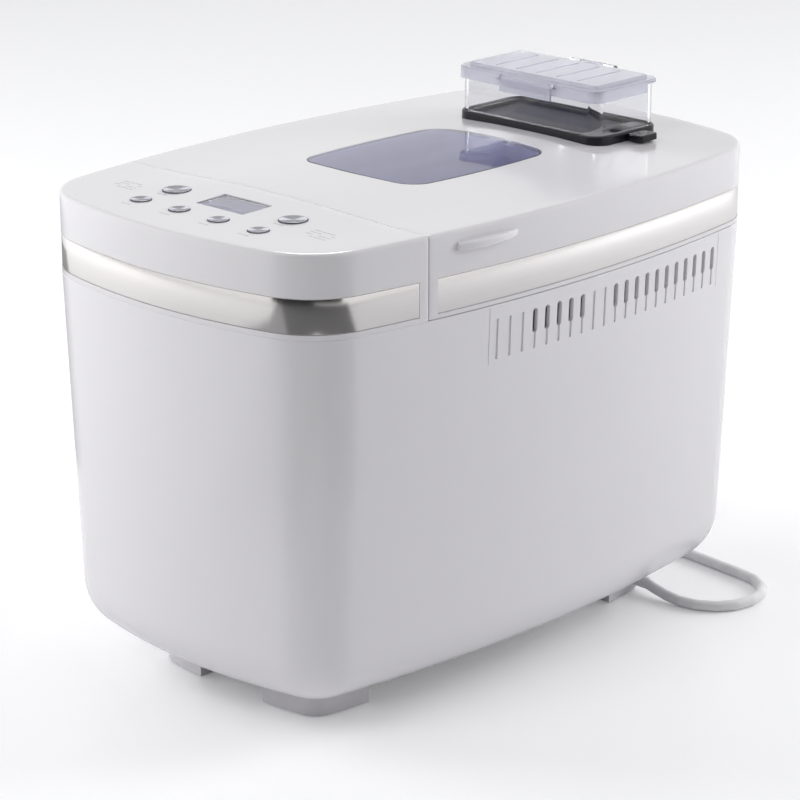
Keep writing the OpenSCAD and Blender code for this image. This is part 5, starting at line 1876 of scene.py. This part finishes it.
    def clasp_piece(self) -> None:
        """Make the clasp that hangs on the cover's front edge."""
        clasp = self.clasp
        y, z = clasp.axis
        half, low = clasp.width / 2, z - clasp.height
        thing = block("clasp_plate", about(clasp.x, half), about(y, clasp.thick / 2), (low, z))
        bevelled(thing, 0.4 * MM)
        bar = along_x("clasp_bar", clasp.x, clasp.width, clasp.axis, clasp.bar)
        pin = along_x("clasp_pin", clasp.x, clasp.width + 4 * MM, clasp.axis, clasp.pin)
        carve(thing, bar, pin, how=Cut.JOIN)
        for rise in clasp.ridges:
            height, out = (low + rise, low + rise + 0.6 * MM), (y - 1.25 * MM, y)
            ridge = block("ridge", about(clasp.x, half - 3 * MM), out, height)
            carve(thing, ridge, how=Cut.JOIN)
        dress(thing, FINISH.hazy, Body.CLASP, ("cover_clasp",), angle=40.0)

    def latch_piece(self) -> None:
        """Make the flap's latch with its grip tab."""
        latch, edge = self.latch, self.base.width / 2
        along = (latch.x, edge + latch.grip - 0.7 * MM)
        height, top = (latch.low, latch.low + latch.thick), latch.low + latch.rise
        bar = block("bar", along, about(latch.y, latch.width / 2), height)
        middle = (edge + 0.6 * MM + latch.grip / 2, latch.y)
        shape = Rounded(latch.grip, latch.width + 2 * MM, 2.2 * MM, middle, 8)
        tab = slab("tab", shape, latch.low - 0.2 * MM, top, 0.3 * MM, 1.0 * MM)
        parts = [bevelled(bar, 0.3 * MM), tab]
        for out in latch.ridges:
            ridge = Rounded(0.9 * MM, latch.width - 2 * MM, 0.4 * MM, (edge + out, latch.y), 4)
            parts.append(slab("ridge", ridge, top - 0.3 * MM, top + 0.15 * MM, 0.05 * MM, 0.2 * MM))
        dress(joined("latch_tab", parts), FINISH.dark, Body.LATCH, ("flap_latch",))


# The pieces that stay as built


@dataclass(frozen=True)
class Innards:
    """Finishes for every node that keeps its built form, by finish and edge radius."""

    kept: tuple[tuple[Finish, float, str], ...] = (
        (FINISH.sheet, 0.3, "base_plate heater_clips pan_clips"),
        (FINISH.casing, 0.8, "feet"),
        (FINISH.rubber, 0.3, "foot_pads"),
        (FINISH.pin, 0.3, "base_screws hinge_pins temp_sensor motor_pulley "
            "drive_shaft_front drive_shaft_rear paddle_shaft_front paddle_shaft_rear"),
        (FINISH.sheet, 0.2, "lid_liner"),
        (FINISH.gasket, 0.6, "lid_gasket"),
        (FINISH.clear, 0.3, "window_inner"),
        (FINISH.inner_white, 0.2, "window_well"),
        (FINISH.casing, 0.4, "hinge_brackets"),
        (FINISH.dark, 0.3, "dispenser_chute"),
        (FINISH.pin, 0.2, "cover_pin"),
        (FINISH.display_cell, 0.2, "lcd_module"),
        (FINISH.board, 0.1, "control_board"),
        (FINISH.inner_white, 0.5, "deck_plate"),
        (FINISH.sheet, 0.25, "chamber"),
        (FINISH.heater, 0.2, "heater"),
        (FINISH.chassis, 0.5, "chassis"),
        (FINISH.bush, 0.3, "drive_bushes pan_seals"),
        (FINISH.motor, 0.8, "motor"),
        (FINISH.rubber, 0.4, "motor_mounts drive_belt link_belt"),
        (FINISH.nonstick, 0.4, "pan"),
        (FINISH.nonstick, 0.5, "paddle_front paddle_rear"),
        (FINISH.handle, 0.2, "pan_handle"),
        (FINISH.board, 0.2, "power_board"),
    )

    def build(self) -> None:
        """Finish each kept node and round its edges, by a radius in millimetres."""
        for finish, edge, names in self.kept:
            for name in names.split():
                thing = frame["nodes"][name]
                coat(thing, finish)
                thing.data.shade_smooth()
                soften(thing, edge * MM)
                thing.modifiers.new("shade", "WEIGHTED_NORMAL").keep_sharp = False


def main() -> None:
    """Build the looks of the machine on its frame."""
    logging.basicConfig(level=logging.INFO)
    Studio().build()
    MainsLead().build()
    Casing().build()
    Bands().build()
    ControlPanel().build()
    Lid().build()
    Dispenser().build()
    Innards().build()


if __name__ == "__main__":
    main()
